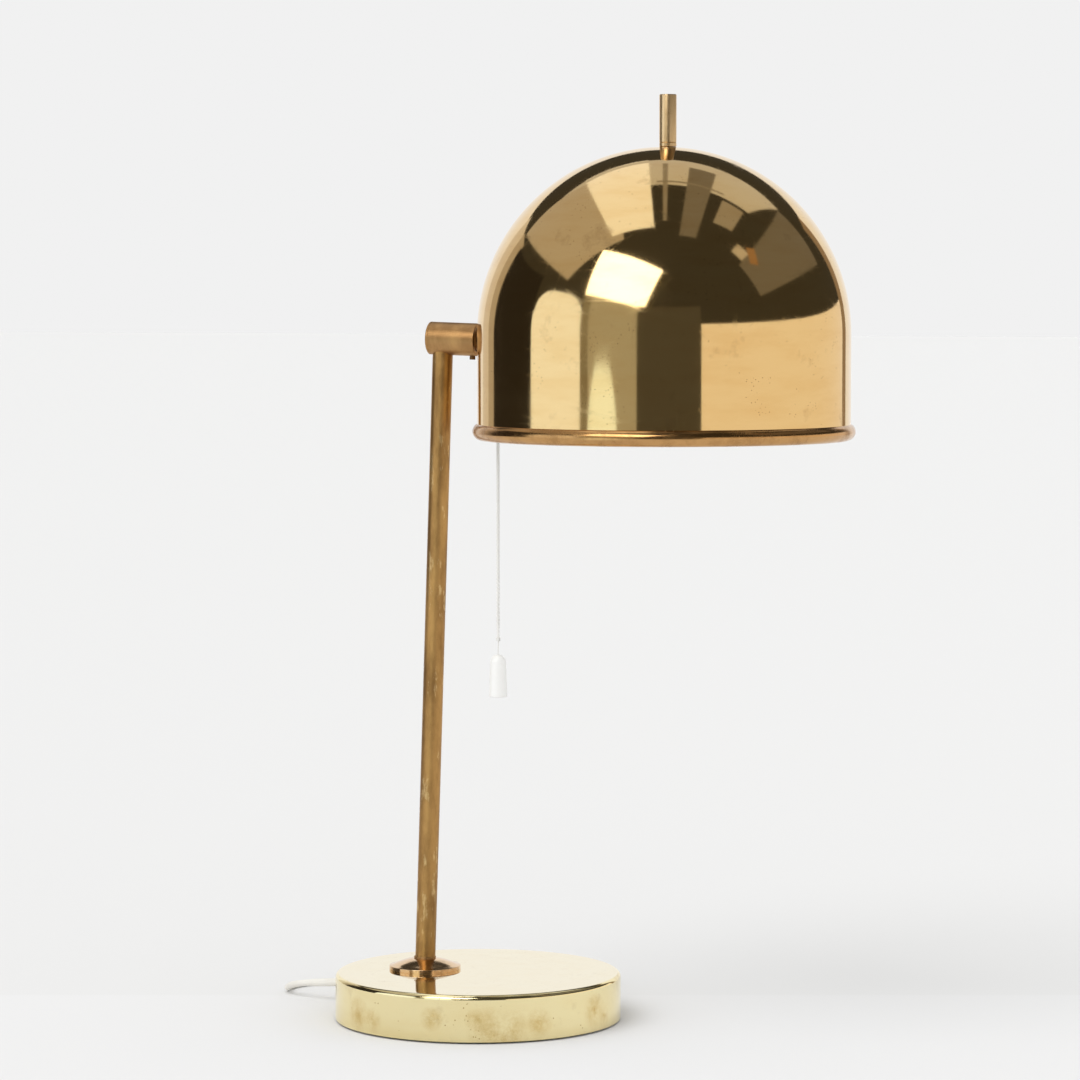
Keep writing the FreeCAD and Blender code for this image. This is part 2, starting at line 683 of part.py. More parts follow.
def stem_axis_x(height):
    """Where the leaning stem's axis is at a height."""
    return (height - number("base_height")) * math.tan(math.radians(LEAN)) - number("stem_offset")


def stem_tube():
    """Straight tube, cut level at the foot and hollowed to the barrel at the top."""
    length = f"(pivot_height - base_height) / cos(stem_lean * 1 deg) + barrel_radius"
    outer = cylinder("stem_tube_outer", "stem_radius", length, stem_frame)
    bore = cylinder("stem_tube_bore", "stem_radius - stem_wall", length, stem_frame)
    foot = box("stem_tube_foot_cut", "6 * stem_radius", "6 * stem_radius", f"{foot_top} + stem_radius", spot(
        -number("stem_offset + 3 * stem_radius"), 0, number("base_height - stem_radius")))
    saddle = cylinder("stem_tube_saddle", "barrel_radius", mouth, barrel_frame)
    above = box("stem_tube_top_cut", "6 * stem_radius", "6 * stem_radius", "3 * barrel_radius", spot(
        pivot.x - number("3 * stem_radius"), 0, pivot.z))
    keep(without("stem_tube", outer, [bore, foot, saddle, above]), "stem_tube")


# ---- joint at the top of the stem


def joint_barrel():
    """Tube with a narrower mouth, hollowed to seat the ball."""
    bore = "(ball_radius + joint_gap)"
    corners = [
        (bore, "cap_thick"),
        ("barrel_radius", "cap_thick"),
        ("barrel_radius", f"{mouth} - barrel_edge"),
        ("barrel_radius - barrel_edge", mouth),
        ("lip_radius + mouth_chamfer", mouth),
        ("lip_radius", f"{mouth} - mouth_chamfer"),
        ("lip_radius", seat),
        (bore, seat),
    ]
    shell = turned("joint_barrel_shell", corners, barrel_frame)
    seat_cut = ball("joint_barrel_seat", bore, on(barrel_frame, z=number(seat)))
    below = FreeCAD.Placement(pivot, stem_frame.Rotation)
    wire_way = cylinder("joint_barrel_wire_way", "stem_radius - stem_wall", "2 * barrel_radius", on(
        below, z=-number("2 * barrel_radius")))
    tap = cylinder("joint_barrel_tap", "set_screw_radius", "2 * barrel_radius", set_screw_frame())
    keep(without("joint_barrel", shell, [seat_cut, wire_way, tap]), "joint_barrel")


def set_screw_frame():
    """On the ball's axis of pressure, looking down out of the barrel."""
    start = on(pivot_frame, z=number("barrel_front - set_screw_back"))
    return start.multiply(spot(0, 0, 0, (0, 1, 0), 90))


def joint_inner_pieces():
    """End cap, threaded ring, disc spring, friction cup and set screw."""
    bore = "(ball_radius + joint_gap)"
    rise = "cap_bulge"
    dome = f"((barrel_radius * barrel_radius + {rise} * {rise}) / 2 / {rise})"
    corners = [
        ("0", "0"),
        ("barrel_radius", rise, "0", dome),
        ("barrel_radius", f"{rise} + cap_thick"),
        ("ball_radius", f"{rise} + cap_thick"),
        ("ball_radius", f"{rise} + cap_thick + cap_plug"),
        ("0", f"{rise} + cap_thick + cap_plug"),
    ]
    cap = turned("barrel_end_cap", corners, on(barrel_frame, z=-number(rise)))
    keep(cap, "barrel_end_cap")

    cup_back = number(f"{seat} - ball_radius - joint_gap - cup_wall")
    cup_length = "(ball_radius + joint_gap + cup_wall - cup_reach)"
    cup_solid = disc("friction_cup_solid", "ball_radius - joint_gap", "cup_bore", cup_length, on(
        barrel_frame, z=cup_back))
    cup_seat = ball("friction_cup_seat", bore, on(barrel_frame, z=number(seat)))
    keep(without("friction_cup", cup_solid, [cup_seat]), "friction_cup")

    spring_back = cup_back - number("disc_spring_height")
    corners = [
        ("cup_bore", "0"),
        ("cup_bore", "disc_spring_thick"),
        ("ball_radius - joint_gap", "disc_spring_height"),
        ("ball_radius - joint_gap", "disc_spring_height - disc_spring_thick"),
    ]
    keep(turned("disc_spring", corners, on(barrel_frame, z=spring_back)), "disc_spring")

    ring_back = spring_back - number("ring_thick")
    retaining = disc("retaining_ring", bore, "cup_bore", "ring_thick", on(barrel_frame, z=ring_back))
    keep(retaining, "retaining_ring")

    proud = "(barrel_radius + set_screw_proud)"
    tip = "(ball_radius + joint_gap)"
    grub = cylinder("joint_set_screw_rod", "set_screw_radius", f"{proud} - {tip}", on(
        set_screw_frame(), z=number(tip)))
    slot_frame = on(set_screw_frame(), x=-number("2 * set_screw_radius"), z=number(f"{proud} - slot_depth"))
    slot = box("joint_set_screw_slot", "4 * set_screw_radius", "slot_width", "2 * slot_depth", slot_frame)
    keep(without("joint_set_screw", grub, [slot]), "joint_set_screw")


def joint_ball():
    """Ball, neck, collar and threaded stud turned in one piece, bored for the lead."""
    sphere = ball("joint_ball_sphere", "ball_radius", head_frame)
    neck = cylinder("joint_ball_neck", "neck_radius", "ball_depth + wall_gap", head_frame)
    collar = cylinder("joint_ball_collar", "collar_radius", "collar_thick", on(
        wall_frame, z=-number("collar_thick")))
    stud = cylinder("joint_ball_stud", "nipple_radius", "stud_reach", wall_frame)
    bore = cylinder("joint_ball_bore", "wire_bore", "4 * ball_radius + stud_reach + wall_gap", on(
        head_frame, z=-number("2 * ball_radius")))
    solid = joined("joint_ball_solid", [sphere, neck, collar, stud])
    keep(without("joint_ball", solid, [bore]), "joint_ball")


# ---- shade


def shade():
    """Hemisphere, and the straight skirt below it with a bead rolled round the rim."""
    inside = "(shade_radius - sheet_thick)"
    corners = [
        ("0", f"skirt_height + {inside}"),
        ("0", "skirt_height + shade_radius"),
        ("shade_radius", "skirt_height", "0", "skirt_height"),
        (inside, "skirt_height"),
    ]
    corners[0] += ("0", "skirt_height")
    dome = turned("shade_dome_sheet", corners, shade_frame)
    bead_axis = "(shade_radius - bead_inset)"
    bead_inner = "(bead_radius - sheet_thick)"
    crease = "bead_radius + sqrt(bead_radius * bead_radius - bead_inset * bead_inset)"
    offset = "(bead_inset - sheet_thick)"
    inner_crease = f"bead_radius + sqrt({bead_inner} * {bead_inner} - {offset} * {offset})"
    corners = [
        (inside, "skirt_height"),
        ("shade_radius", "skirt_height"),
        ("shade_radius", crease),
        (bead_axis, "0", bead_axis, "bead_radius"),
        (bead_axis, "sheet_thick"),
        (inside, inner_crease, bead_axis, "bead_radius"),
    ]
    skirt = turned("shade_skirt_sheet", corners, shade_frame)
    depth = "4 * collar_thick"
    stud_holes = [
        cylinder(f"shade_stud_hole_{index}", "nipple_radius + hole_room", depth, on(
            wall_frame, z=-number("2 * collar_thick")))
        for index in range(2)
    ]
    screw_hole = cylinder("shade_screw_hole", "finial_screw_radius + hole_room", depth, on(
        shade_frame, x=number("finial_shift"), z=number("skirt_height + shade_radius - 2 * collar_thick")))
    keep(without("shade_dome", dome, [stud_holes[0], screw_hole]), "shade_dome")
    keep(without("shade_skirt", skirt, [stud_holes[1]]), "shade_skirt")


def flat_behind(radius):
    """How far a flat washer stands off the inside of the skirt or dome."""
    inside = "(shade_radius - sheet_thick)"
    return f"(sheet_thick + {inside} - sqrt({inside} * {inside} - {radius} * {radius}))"


def shade_fasteners():
    """Washer and nut on the stud, and the finial with its washer and screw."""
    stand = flat_behind("shade_washer_radius")
    bore = "nipple_radius + thread_room"
    washer = disc("shade_washer", "shade_washer_radius", bore, "shade_washer_thick", on(
        wall_frame, z=number(stand)))
    keep(washer, "shade_washer")
    nut_place = on(wall_frame, z=number(f"{stand} + shade_washer_thick"))
    keep(hexagon("shade_nut", "nut_width", "nut_thick", bore, nut_place), "shade_nut")

    apex = on(shade_frame, x=number("finial_shift"), z=number("skirt_height + shade_radius"))
    corners = [
        ("finial_screw_radius", "0"),
        ("finial_radius", "0"),
        ("finial_radius", "finial_height - finial_edge"),
        ("finial_radius - finial_edge", "finial_height"),
        ("0", "finial_height"),
        ("0", "finial_screw_grip + 1"),
        ("finial_screw_radius", "finial_screw_grip + 1"),
    ]
    keep(turned("finial_rod", corners, apex), "finial_rod")
    under = number(flat_behind("(finial_washer_radius + finial_shift)") + " + finial_washer_thick")
    underneath = on(apex, z=-under)
    bore = "finial_screw_radius + hole_room"
    finial_washer = disc("finial_washer", "finial_washer_radius", bore, "finial_washer_thick", underneath)
    keep(finial_washer, "finial_washer")
    upside_down = underneath.multiply(spot(0, 0, 0, (1, 0, 0), 180))
    length = f"finial_screw_grip + {under}"
    finial_screw = screw(
        "finial_screw", "finial_screw_radius", length,
        "finial_head_radius", "finial_head_height", upside_down)
    keep(finial_screw, "finial_screw")


# ---- lampholder, switch and bulb

cap_start = f"({flat_behind('shade_washer_radius')} + shade_washer_thick + nut_thick)"
sleeve_start = f"({cap_start} + holder_cap_length)"
insert_start = f"({sleeve_start} - insert_overlap)"
insert_face = f"({insert_start} + insert_length)"
bulb_start = f"({insert_face} + contact_height + bulb_play)"
glass_start = f"({bulb_start} + bulb_cap_length)"
nozzle_length = "(nozzle_foot - nozzle_top)"
nozzle_frame = spot(
    wall_frame.Base.x + number("nozzle_reach"), -number("nozzle_side"), ball_centre.z - number("nozzle_foot")
)


def lampholder():
    """Cap over the switch, porcelain insert, threaded shell, sleeve, contact and terminal screws."""
    inside = "(holder_radius - holder_wall)"
    corners = [
        ("nipple_radius", "0"),
        ("holder_radius - holder_back", "0"),
        ("holder_radius", "holder_back", "holder_radius - holder_back", "holder_back"),
        ("holder_radius", "holder_cap_length"),
        (inside, "holder_cap_length"),
        (inside, "holder_back"),
        ("nipple_radius", "holder_back"),
    ]
    cup = turned("lampholder_cap_cup", corners, on(wall_frame, z=number(cap_start)))
    nozzle_hole = cylinder("lampholder_cap_nozzle_hole", "nozzle_radius", nozzle_length, nozzle_frame)
    keep(without("lampholder_cap", cup, [nozzle_hole]), "lampholder_cap")

    insert_radius = f"{inside} - holder_room"
    insert = disc("holder_insert_disc", insert_radius, "terminal_radius", "insert_length", on(
        wall_frame, z=number(insert_start)))
    taps = [
        cylinder(f"holder_insert_tap_{index}", "terminal_radius", "terminal_reach", frame)
        for index, frame in enumerate(terminal_frames())
    ]
    keep(without("holder_insert", insert, taps), "holder_insert")
    terminals = []
    for index, frame in enumerate(terminal_frames()):
        reversed_frame = frame.multiply(spot(0, 0, 0, (1, 0, 0), 180))
        terminals.append(screw(
            f"terminal_screw_{index}", "terminal_radius", "terminal_reach",
            "terminal_head", "terminal_head_height", reversed_frame))
    keep(group("terminal_screws", terminals), "terminal_screws")

    sleeve = disc("lampholder_sleeve", "holder_radius", inside, "holder_sleeve_length", on(
        wall_frame, z=number(sleeve_start)))
    keep(sleeve, "lampholder_sleeve")

    corners = [
        ("contact_radius + 2 * shell_wall", "0"),
        ("shell_radius", "0"),
        ("shell_radius", "shell_length"),
        ("shell_radius - shell_wall", "shell_length"),
        ("shell_radius - shell_wall", "shell_wall"),
        ("contact_radius + 2 * shell_wall", "shell_wall"),
    ]
    face = on(wall_frame, z=number(insert_face))
    keep(turned("thread_shell", corners, face), "thread_shell")
    button = "(contact_radius * contact_radius + contact_height * contact_height) / 2 / contact_height"
    corners = [
        ("0", "0"),
        ("contact_radius", "0"),
        ("0", "contact_height", "0", f"contact_height - {button}"),
    ]
    keep(turned("centre_contact", corners, face), "centre_contact")


def terminal_frames():
    """Two screws in the back of the insert, seen from the cap's side."""
    back = number(insert_start)
    sides = (-number("terminal_spread"), number("terminal_spread"))
    return [on(wall_frame, x=side, z=back) for side in sides]


def bulb():
    """Pear shaped bulb: thin glass and a screw cap with its contact tip."""
    tip = "(contact_radius / 2)"
    corners = [
        ("0", "0"),
        (tip, "0"),
        ("bulb_cap_radius", "bulb_cap_length / 4"),
        ("bulb_cap_radius", "bulb_cap_length"),
        ("0", "bulb_cap_length"),
    ]
    keep(turned("bulb_cap", corners, on(wall_frame, z=number(bulb_start))), "bulb_cap")
    middle = "(bulb_length - bulb_radius)"
    thin = "(bulb_radius - bulb_glass)"
    shoulder = "bulb_shoulder * 1 deg"
    corners = [
        ("0", "0"),
        ("bulb_neck", "0"),
        ("bulb_neck", "bulb_neck_length"),
        (f"bulb_radius * cos({shoulder})", f"{middle} - bulb_radius * sin({shoulder})"),
        ("0", "bulb_length", "0", middle),
        ("0", "bulb_length - bulb_glass"),
        (f"{thin} * cos({shoulder})", f"{middle} - {thin} * sin({shoulder})", "0", middle),
        ("bulb_neck - bulb_glass", "bulb_neck_length"),
        ("bulb_neck - bulb_glass", "bulb_glass"),
        ("0", "bulb_glass"),
    ]
    keep(turned("bulb_glass", corners, on(wall_frame, z=number(glass_start))), "bulb_glass")


def pull_switch():
    """Switch block, nozzle under the holder, and the sliding rod with its eye."""
    block_frame = on(head_frame, x=-number("switch_lift"), y=-number("switch_side"), z=wall)
    block_frame = on(block_frame, z=number(f"{insert_start} - switch_length"))
    block_frame = block_frame.multiply(spot(0, 0, 0, (0, 0, 1), 180))
    block = box("switch_block", "switch_height", "switch_width", "switch_length", block_frame)
    keep(block, "switch_block")

    bore = "(slider_radius + slider_gap)"
    corners = [
        (bore, "0"),
        ("nozzle_mouth", "0"),
        ("nozzle_mouth", "nozzle_flare / 3"),
        ("nozzle_radius", "nozzle_flare"),
        ("nozzle_radius", nozzle_length),
        (bore, nozzle_length),
    ]
    keep(turned("switch_nozzle", corners, nozzle_frame), "switch_nozzle")

    rod_length = f"({nozzle_length} + pull_travel + slider_spare + wire_radius)"
    rod_frame = on(nozzle_frame, z=-number("wire_radius"))
    rod = cylinder("pull_slider_rod", "slider_radius", rod_length, rod_frame)
    head = cylinder("pull_slider_head", "slider_head", "slider_head_height", on(
        rod_frame, z=number(rod_length)))
    eye = ring("pull_slider_eye", "eye_radius", "wire_radius", hanging_ring(0, 0))
    keep(joined("pull_slider", [rod, head, eye]), "pull_slider")


def hanging_ring(index, turn):
    """Frame of the rings that hang in each other under the nozzle, facing along Y, or X when turned."""
    step = number("2 * eye_radius - 2 * wire_radius - link_play")
    frame = on(nozzle_frame, z=-number("wire_radius + eye_radius") - index * step)
    return frame.multiply(spot(0, 0, 0, (0, 0, 1), turn)).multiply(spot(0, 0, 0, (1, 0, 0), 90))


def pull_cord():
    """Link, then the cord with its loop, knots and bare thread, and the bell knob it carries."""
    keep(ring("cord_link", "eye_radius", "wire_radius", hanging_ring(1, 90)), "cord_link")
    loop_frame = hanging_ring(2, 0)
    loop = ring("pull_cord_loop", "eye_radius", "wire_radius", loop_frame)
    top = loop_frame.Base.z - number("eye_radius")
    thread_top = number("knob_top_height + pull_thread_length")
    twisted_frame = spot(nozzle_frame.Base.x, nozzle_frame.Base.y, thread_top)
    knot = ball("pull_cord_knot", "knot_radius", spot(nozzle_frame.Base.x, nozzle_frame.Base.y, top))
    twisted = cylinder("pull_cord_twisted", "pull_cord_radius", f"{top - thread_top:.6f}", twisted_frame)
    through = "(knob_length - knob_hollow_depth + pull_thread_length + knot_radius)"
    thread_frame = on(twisted_frame, z=-number(through))
    thread = cylinder("pull_cord_thread", "pull_thread_radius", through, thread_frame)
    end_knot = ball("pull_cord_end_knot", "knot_radius", thread_frame)
    keep(joined("pull_cord", [loop, knot, twisted, thread, end_knot]), "pull_cord")

    bore = "(pull_thread_radius + knob_room)"
    middle = "(knob_length - knob_crown)"
    corners = [
        ("knob_hollow", "0"),
        ("knob_foot", "0"),
        ("knob_crown", middle),
        (bore, f"{middle} + sqrt(knob_crown * knob_crown - {bore} * {bore})", "0", middle),
        (bore, "knob_hollow_depth"),
        ("knob_hollow", "knob_hollow_depth"),
    ]
    knob_frame = on(twisted_frame, z=-number("pull_thread_length + knob_length"))
    keep(turned("pull_knob", corners, knob_frame), "pull_knob")


# ---- leads


def inner_leads():
    """The lead inside the lamp: barrel, stem, clamp and sleeve, then from the ball to the terminals."""
    level = number("felt_thick + plate_thick + lead_lift + lead_radius")
    outward = exit_turn.multVec(FreeCAD.Vector(1, 0, 0))
    forward = barrel_turn.multVec(FreeCAD.Vector(0, 0, 1))
    height = FreeCAD.Vector(0, 0, number("exit_height"))
    low = FreeCAD.Vector(stem_axis_x(level), 0, level)
    before_clamp = outward * number(f"{clamp_reach} - clamp_width") + height
    across = before_clamp - low
    across.z = 0
    across.normalize()
    points = [
        pivot + forward * number("barrel_front - ball_depth - ball_radius - ball_room"),
        pivot,
        low,
        low + across * number("bend_low + lead_radius * 2"),
        before_clamp,
        outward * number(f"{clamp_reach} + clamp_width") + height,
        on(exit_frame, z=-number("8 * base_wall")).Base,
        on(exit_frame, z=number("sleeve_length")).Base,
    ]
    radii = [number(bend) for bend in (
        "bend_top", "bend_low", "bend_clamp", "bend_clamp", "bend_sleeve", "bend_sleeve")]
    keep(tube("stem_lead", rounded_path(points, radii), number("lead_radius")), "stem_lead")
    inside_ball = "sqrt(ball_radius * ball_radius - lead_radius * lead_radius)"
    length = f"{inside_ball} + ball_depth + wall_gap + {insert_start}"
    rear = on(head_frame, z=-number(inside_ball))
    keep(cylinder("head_lead", "lead_radius", length, rear), "head_lead")


sleeve_tip = on(exit_frame, z=number("sleeve_length")).Base
coil_x = sleeve_tip.x + number("coil_back")
coil_y = sleeve_tip.y + number("coil_side")
coil_frame = spot(coil_x, coil_y, 0, (0, 0, 1), number("coil_heading"))
coil_pitch = number("2 * lead_radius + coil_gap")
coil_outer = number("coil_inner") + coil_pitch * number("coil_turns / 2")
coil_floor = number("lead_radius + tie_thick + 2 * tie_lift")


def coil_points():
    """Points of the coil every quarter turn, with the direction of the lead at each."""
    quarters = int(4 * number("coil_turns"))
    middle = quarters // 2
    points = []
    for quarter in range(quarters + 1):
        angle = math.radians(90 * (quarter - 1))
        radius = number("coil_inner") + coil_pitch * abs(quarter - middle) / 4
        layer = 0.5 if quarter == middle else float(quarter > middle)
        outward = FreeCAD.Vector(math.cos(angle), math.sin(angle), 0)
        onward = FreeCAD.Vector(-math.sin(angle), math.cos(angle), 0)
        if quarter == middle:
            onward.z = 1.5 * coil_pitch / math.pi / radius
        elif 0 < quarter < quarters:
            onward += outward * math.copysign(coil_pitch / 2 / math.pi / radius, quarter - middle)
        onward.normalize()
        place = outward * radius + FreeCAD.Vector(0, 0, coil_floor + layer * coil_pitch)
        points.append((coil_frame.multVec(place), coil_frame.Rotation.multVec(onward)))
    return points


def halfway(start, heading, end):
    """Middle of the arc that leaves start along heading and ends at end."""
    chord = end - start
    side = chord - heading * chord.dot(heading)
    side.normalize()
    radius = chord.Length ** 2 / 2 / chord.dot(side)
    centre = start + side * radius
    outward = (start + end) * 0.5 - centre
    outward.normalize()
    return centre + outward * radius


def biarc(start, heading, end, last_heading):
    """Two arcs that share a tangent, between two points with given directions."""
    chord = end - start
    along = chord.dot(heading + last_heading)
    spread = 2 * (1 - heading.dot(last_heading))
    reach = (math.sqrt(along * along + spread * chord.dot(chord)) - along) / spread
    knee = (start + end + (heading - last_heading) * reach) * 0.5
    first = Part.Arc(start, halfway(start, heading, knee), knee)
    second = Part.Arc(knee, halfway(end, last_heading * -1, knee), end)
    return [first.toShape(), second.toShape()]


def coil_path():
    """The coil's centre line, with a straight stub at each end, and the stubs' outer ends."""
    points = coil_points()
    stub = number("2 * lead_radius")
    first = points[0][0] - points[0][1] * stub
    last = points[-1][0] + points[-1][1] * stub
    edges = [Part.LineSegment(first, points[0][0]).toShape()]
    for (start, heading), (end, last_heading) in zip(points, points[1:]):
        edges += biarc(start, heading, end, last_heading)
    edges.append(Part.LineSegment(points[-1][0], last).toShape())
    return Part.Wire(edges), first, last


def least_gap(path, thickness):
    """Nearest that the coil comes to itself, measured on points along it."""
    step = thickness / 2
    points = path.discretize(Distance=step)
    apart = int(math.pi * number("coil_inner") / step)
    nearest = min(
        (points[first] - points[second]).Length
        for first in range(len(points))
        for second in range(first + apart, len(points))
    )
    return nearest - thickness


def mains_lead():
    """Free stretch behind the base, put-away coil, its band, the tail and the plug."""
    radius = number("lead_radius")
    winding, coil_start, coil_end = coil_path()
    print(f"coil: least gap {least_gap(winding, 2 * radius):.2f}")
    keep(tube("cord_coil", winding, radius), "cord_coil")

    lay = number("lead_radius + lay_lift")
    along = coil_frame.Rotation.multVec(FreeCAD.Vector(1, 0, 0))
    route = [sleeve_tip, on(exit_frame, z=number("sleeve_length + first_run")).Base]
    for x, y, share in FREE_LEAD:
        height = lay + share * (sleeve_tip.z - lay)
        route.append(FreeCAD.Vector(sleeve_tip.x + x, sleeve_tip.y + y, height))
    route += [coil_start - along * number("last_run"), coil_start]
    keep(tube("mains_cord", rounded_path(route), radius), "mains_cord")

    plug_axis = number("plug_thick / 2 + tie_lift")
    tail = [coil_end]
    for onward, sideways, share in TAIL:
        place = coil_end + coil_frame.Rotation.multVec(FreeCAD.Vector(onward, sideways, 0))
        place.z = plug_axis + share * (coil_end.z - plug_axis)
        tail.append(place)
    keep(tube("cord_tail", rounded_path(tail), radius), "cord_tail")
    plug(FreeCAD.Placement(tail[-1], FreeCAD.Rotation(FreeCAD.Vector(1, 0, 0), tail[-1] - tail[-2])))


def coil_tie():
    """Band round all the turns, square to them."""
    inner = number("coil_inner - lead_radius - tie_room")
    width = f"({coil_outer - number('coil_inner'):.6f} + 2 * lead_radius + 2 * tie_room)"
    height = "(4 * lead_radius + coil_gap + 2 * tie_lift)"
    turn = coil_frame.multiply(spot(0, 0, 0, (0, 0, 1), number("tie_angle")))
    frame = on(turn, x=inner - number("tie_thick"), z=number("tie_lift"))
    outer = box("coil_tie_outer", f"{width} + 2 * tie_thick", "tie_width", f"{height} + 2 * tie_thick", frame)
    hollow = box("coil_tie_hollow", width, "2 * tie_width", height, on(
        turn, x=inner, z=number("tie_lift + tie_thick")))
    keep(without("coil_tie", outer, [hollow]), "coil_tie")


def plug(frame):
    """Flat two-pin plug with a tapered boot, along the frame's X axis."""
    body = doc.addObject("PartDesign::Body", "plug_block")
    middle = "plug_width / 2"
    corners = [
        ("0", f"{middle} - plug_tail / 2"),
        ("plug_taper", "0"),
        ("plug_taper + plug_front", "0"),
        ("plug_taper + plug_front", "plug_width"),
        ("plug_taper", "plug_width"),
        ("0", f"{middle} + plug_tail / 2"),
    ]
    pad = body.newObject("PartDesign::Pad", "plug_block_pad")
    pad.Profile = outlined(body, "XY_Plane", corners)
    pad.Midplane = True
    pad.setExpression("Length", "size.plug_thick")
    body.Placement = on(frame, x=number("boot_length"), y=-number(middle))
    along = frame.multiply(spot(0, 0, 0, (0, 1, 0), 90))
    corners = [
        ("0", "0"),
        ("boot_tip", "0"),
        ("boot_root", "boot_length"),
        ("0", "boot_length"),
    ]
    boot = turned("plug_boot", corners, along)
    face = number("boot_length + plug_taper + plug_front")
    sides = (-number("pin_spread"), number("pin_spread"))
    seats = [
        cylinder(f"plug_pin_{index}", "pin_radius", "pin_seat + pin_length", on(
            along, y=side, z=face - number("pin_seat")))
        for index, side in enumerate(sides)
    ]
    keep(without("plug_body", joined("plug_solid", [body, boot]), seats), "plug_body")
    pins = [
        cylinder(f"plug_pin_{index}_metal", "pin_radius", "pin_seat + pin_length", on(
            along, y=side, z=face - number("pin_seat")))
        for index, side in enumerate(sides)
    ]
    keep(group("plug_pins", pins), "plug_pins")


base_shell()
base_weight()
base_underside()
cord_clamp()
cord_sleeve()
stem_foot()
stem_tube()
joint_barrel()
joint_inner_pieces()
joint_ball()
shade()
shade_fasteners()
lampholder()
bulb()
pull_switch()
pull_cord()
inner_leads()
mains_lead()
coil_tie()

doc.recompute()
for item in doc.Objects:
    if "Invalid" in item.State or "Error" in item.State:
        raise RuntimeError(f"{item.Label} failed: {item.State}")
os.makedirs("parts", exist_ok=True)
for piece in sub_parts:
    shape = piece.Shape
    if shape.isNull() or not shape.isValid():
        raise RuntimeError(f"{piece.Label} has no valid shape")
    shape.exportStep(f"parts/{piece.Label}.step")
print(len(sub_parts), "sub-parts written")
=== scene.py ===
import math

import bmesh
import bpy
from mathutils import Matrix, Vector


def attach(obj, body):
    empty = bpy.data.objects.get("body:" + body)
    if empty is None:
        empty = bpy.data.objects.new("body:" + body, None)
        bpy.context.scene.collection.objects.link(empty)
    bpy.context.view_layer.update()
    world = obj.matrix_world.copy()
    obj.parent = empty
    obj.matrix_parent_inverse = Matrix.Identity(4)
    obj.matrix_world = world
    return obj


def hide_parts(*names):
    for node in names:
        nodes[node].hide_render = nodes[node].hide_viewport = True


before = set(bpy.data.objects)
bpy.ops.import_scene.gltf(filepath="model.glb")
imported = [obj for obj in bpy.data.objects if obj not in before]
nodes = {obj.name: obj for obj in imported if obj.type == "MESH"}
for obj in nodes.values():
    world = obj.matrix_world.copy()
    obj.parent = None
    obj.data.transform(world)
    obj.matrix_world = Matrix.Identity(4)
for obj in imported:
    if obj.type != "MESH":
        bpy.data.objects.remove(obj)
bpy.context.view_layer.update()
print("frame loaded")

mm = 0.001


def addObject(name, data):
    piece = bpy.data.objects.new(name, data)
    bpy.context.scene.collection.objects.link(piece)
    return piece


# camera
camera = {
    "place": (0.8905, -2.4231, 0.4664),
    "turn": (86.368, 0.0, 19.312),
    "lens": 137.59,
    "sensor": 36.0,
}
cameraData = bpy.data.cameras.new("lampCamera")
cameraData.lens = camera["lens"]
cameraData.sensor_width = camera["sensor"]
cameraData.clip_start = 0.05
cameraData.clip_end = 60
cameraObject = addObject("lampCamera", cameraData)
cameraObject.location = camera["place"]
cameraObject.rotation_euler = [math.radians(angle) for angle in camera["turn"]]
bpy.context.scene.camera = cameraObject
print("camera placed")


# shader groups
def newGroup(name, inputs, outputs):
    group = bpy.data.node_groups.new(name, "ShaderNodeTree")
    for label, kind, value in inputs:
        socket = group.interface.new_socket(label, in_out="INPUT", socket_type=kind)
        if value is not None:
            socket.default_value = value
    for label, kind in outputs:
        group.interface.new_socket(label, in_out="OUTPUT", socket_type=kind)
    start = group.nodes.new("NodeGroupInput")
    end = group.nodes.new("NodeGroupOutput")
    return group, start, end


# a socket takes another node's output or a plain value
def feed(tree, socket, source):
    if isinstance(source, bpy.types.NodeSocket):
        tree.links.new(source, socket)
    else:
        socket.default_value = source


def addNode(tree, kind, links=None, **settings):
    node = tree.nodes.new(kind)
    for key, value in settings.items():
        setattr(node, key, value)
    for socket, source in (links or {}).items():
        feed(tree, node.inputs[socket], source)
    return node


def addMath(tree, operation, first, second=None, third=None, clamp=False):
    node = addNode(tree, "ShaderNodeMath", operation=operation, use_clamp=clamp)
    for index, source in enumerate((first, second, third)):
        if source is not None:
            feed(tree, node.inputs[index], source)
    return node.outputs[0]


def addRamp(tree, source, stops):
    node = tree.nodes.new("ShaderNodeValToRGB")
    node.color_ramp.interpolation = "EASE"
    points = node.color_ramp.elements
    while len(points) < len(stops):
        points.new(0.5)
    for point, (place, tone) in zip(points, stops):
        point.position = place
        point.color = (tone, tone, tone, 1)
    tree.links.new(source, node.inputs[0])
    return node.outputs[0]


# inputs 0, 6 and 7 are the colour mix's share and its two colours, output 2 its result
def addMix(tree, share, first, second):
    node = addNode(tree, "ShaderNodeMix", data_type="RGBA")
    for index, source in ((0, share), (6, first), (7, second)):
        feed(tree, node.inputs[index], (*source, 1) if isinstance(source, tuple) else source)
    return node.outputs[2]


def addNoise(tree, vector, scale, detail=3.0, rough=0.5):
    return addNode(tree, "ShaderNodeTexNoise", {"Vector": vector, "Scale": scale, "Detail": detail,
                                               "Roughness": rough}).outputs["Fac"]


# rings turned round an axis through Centre, as a lathe or a polishing wheel leaves them
lineLook = {"detail": 4.0, "rough": 0.6, "patchTurn": 2.5, "patchAcross": 0.03, "patchDetail": 3.0}


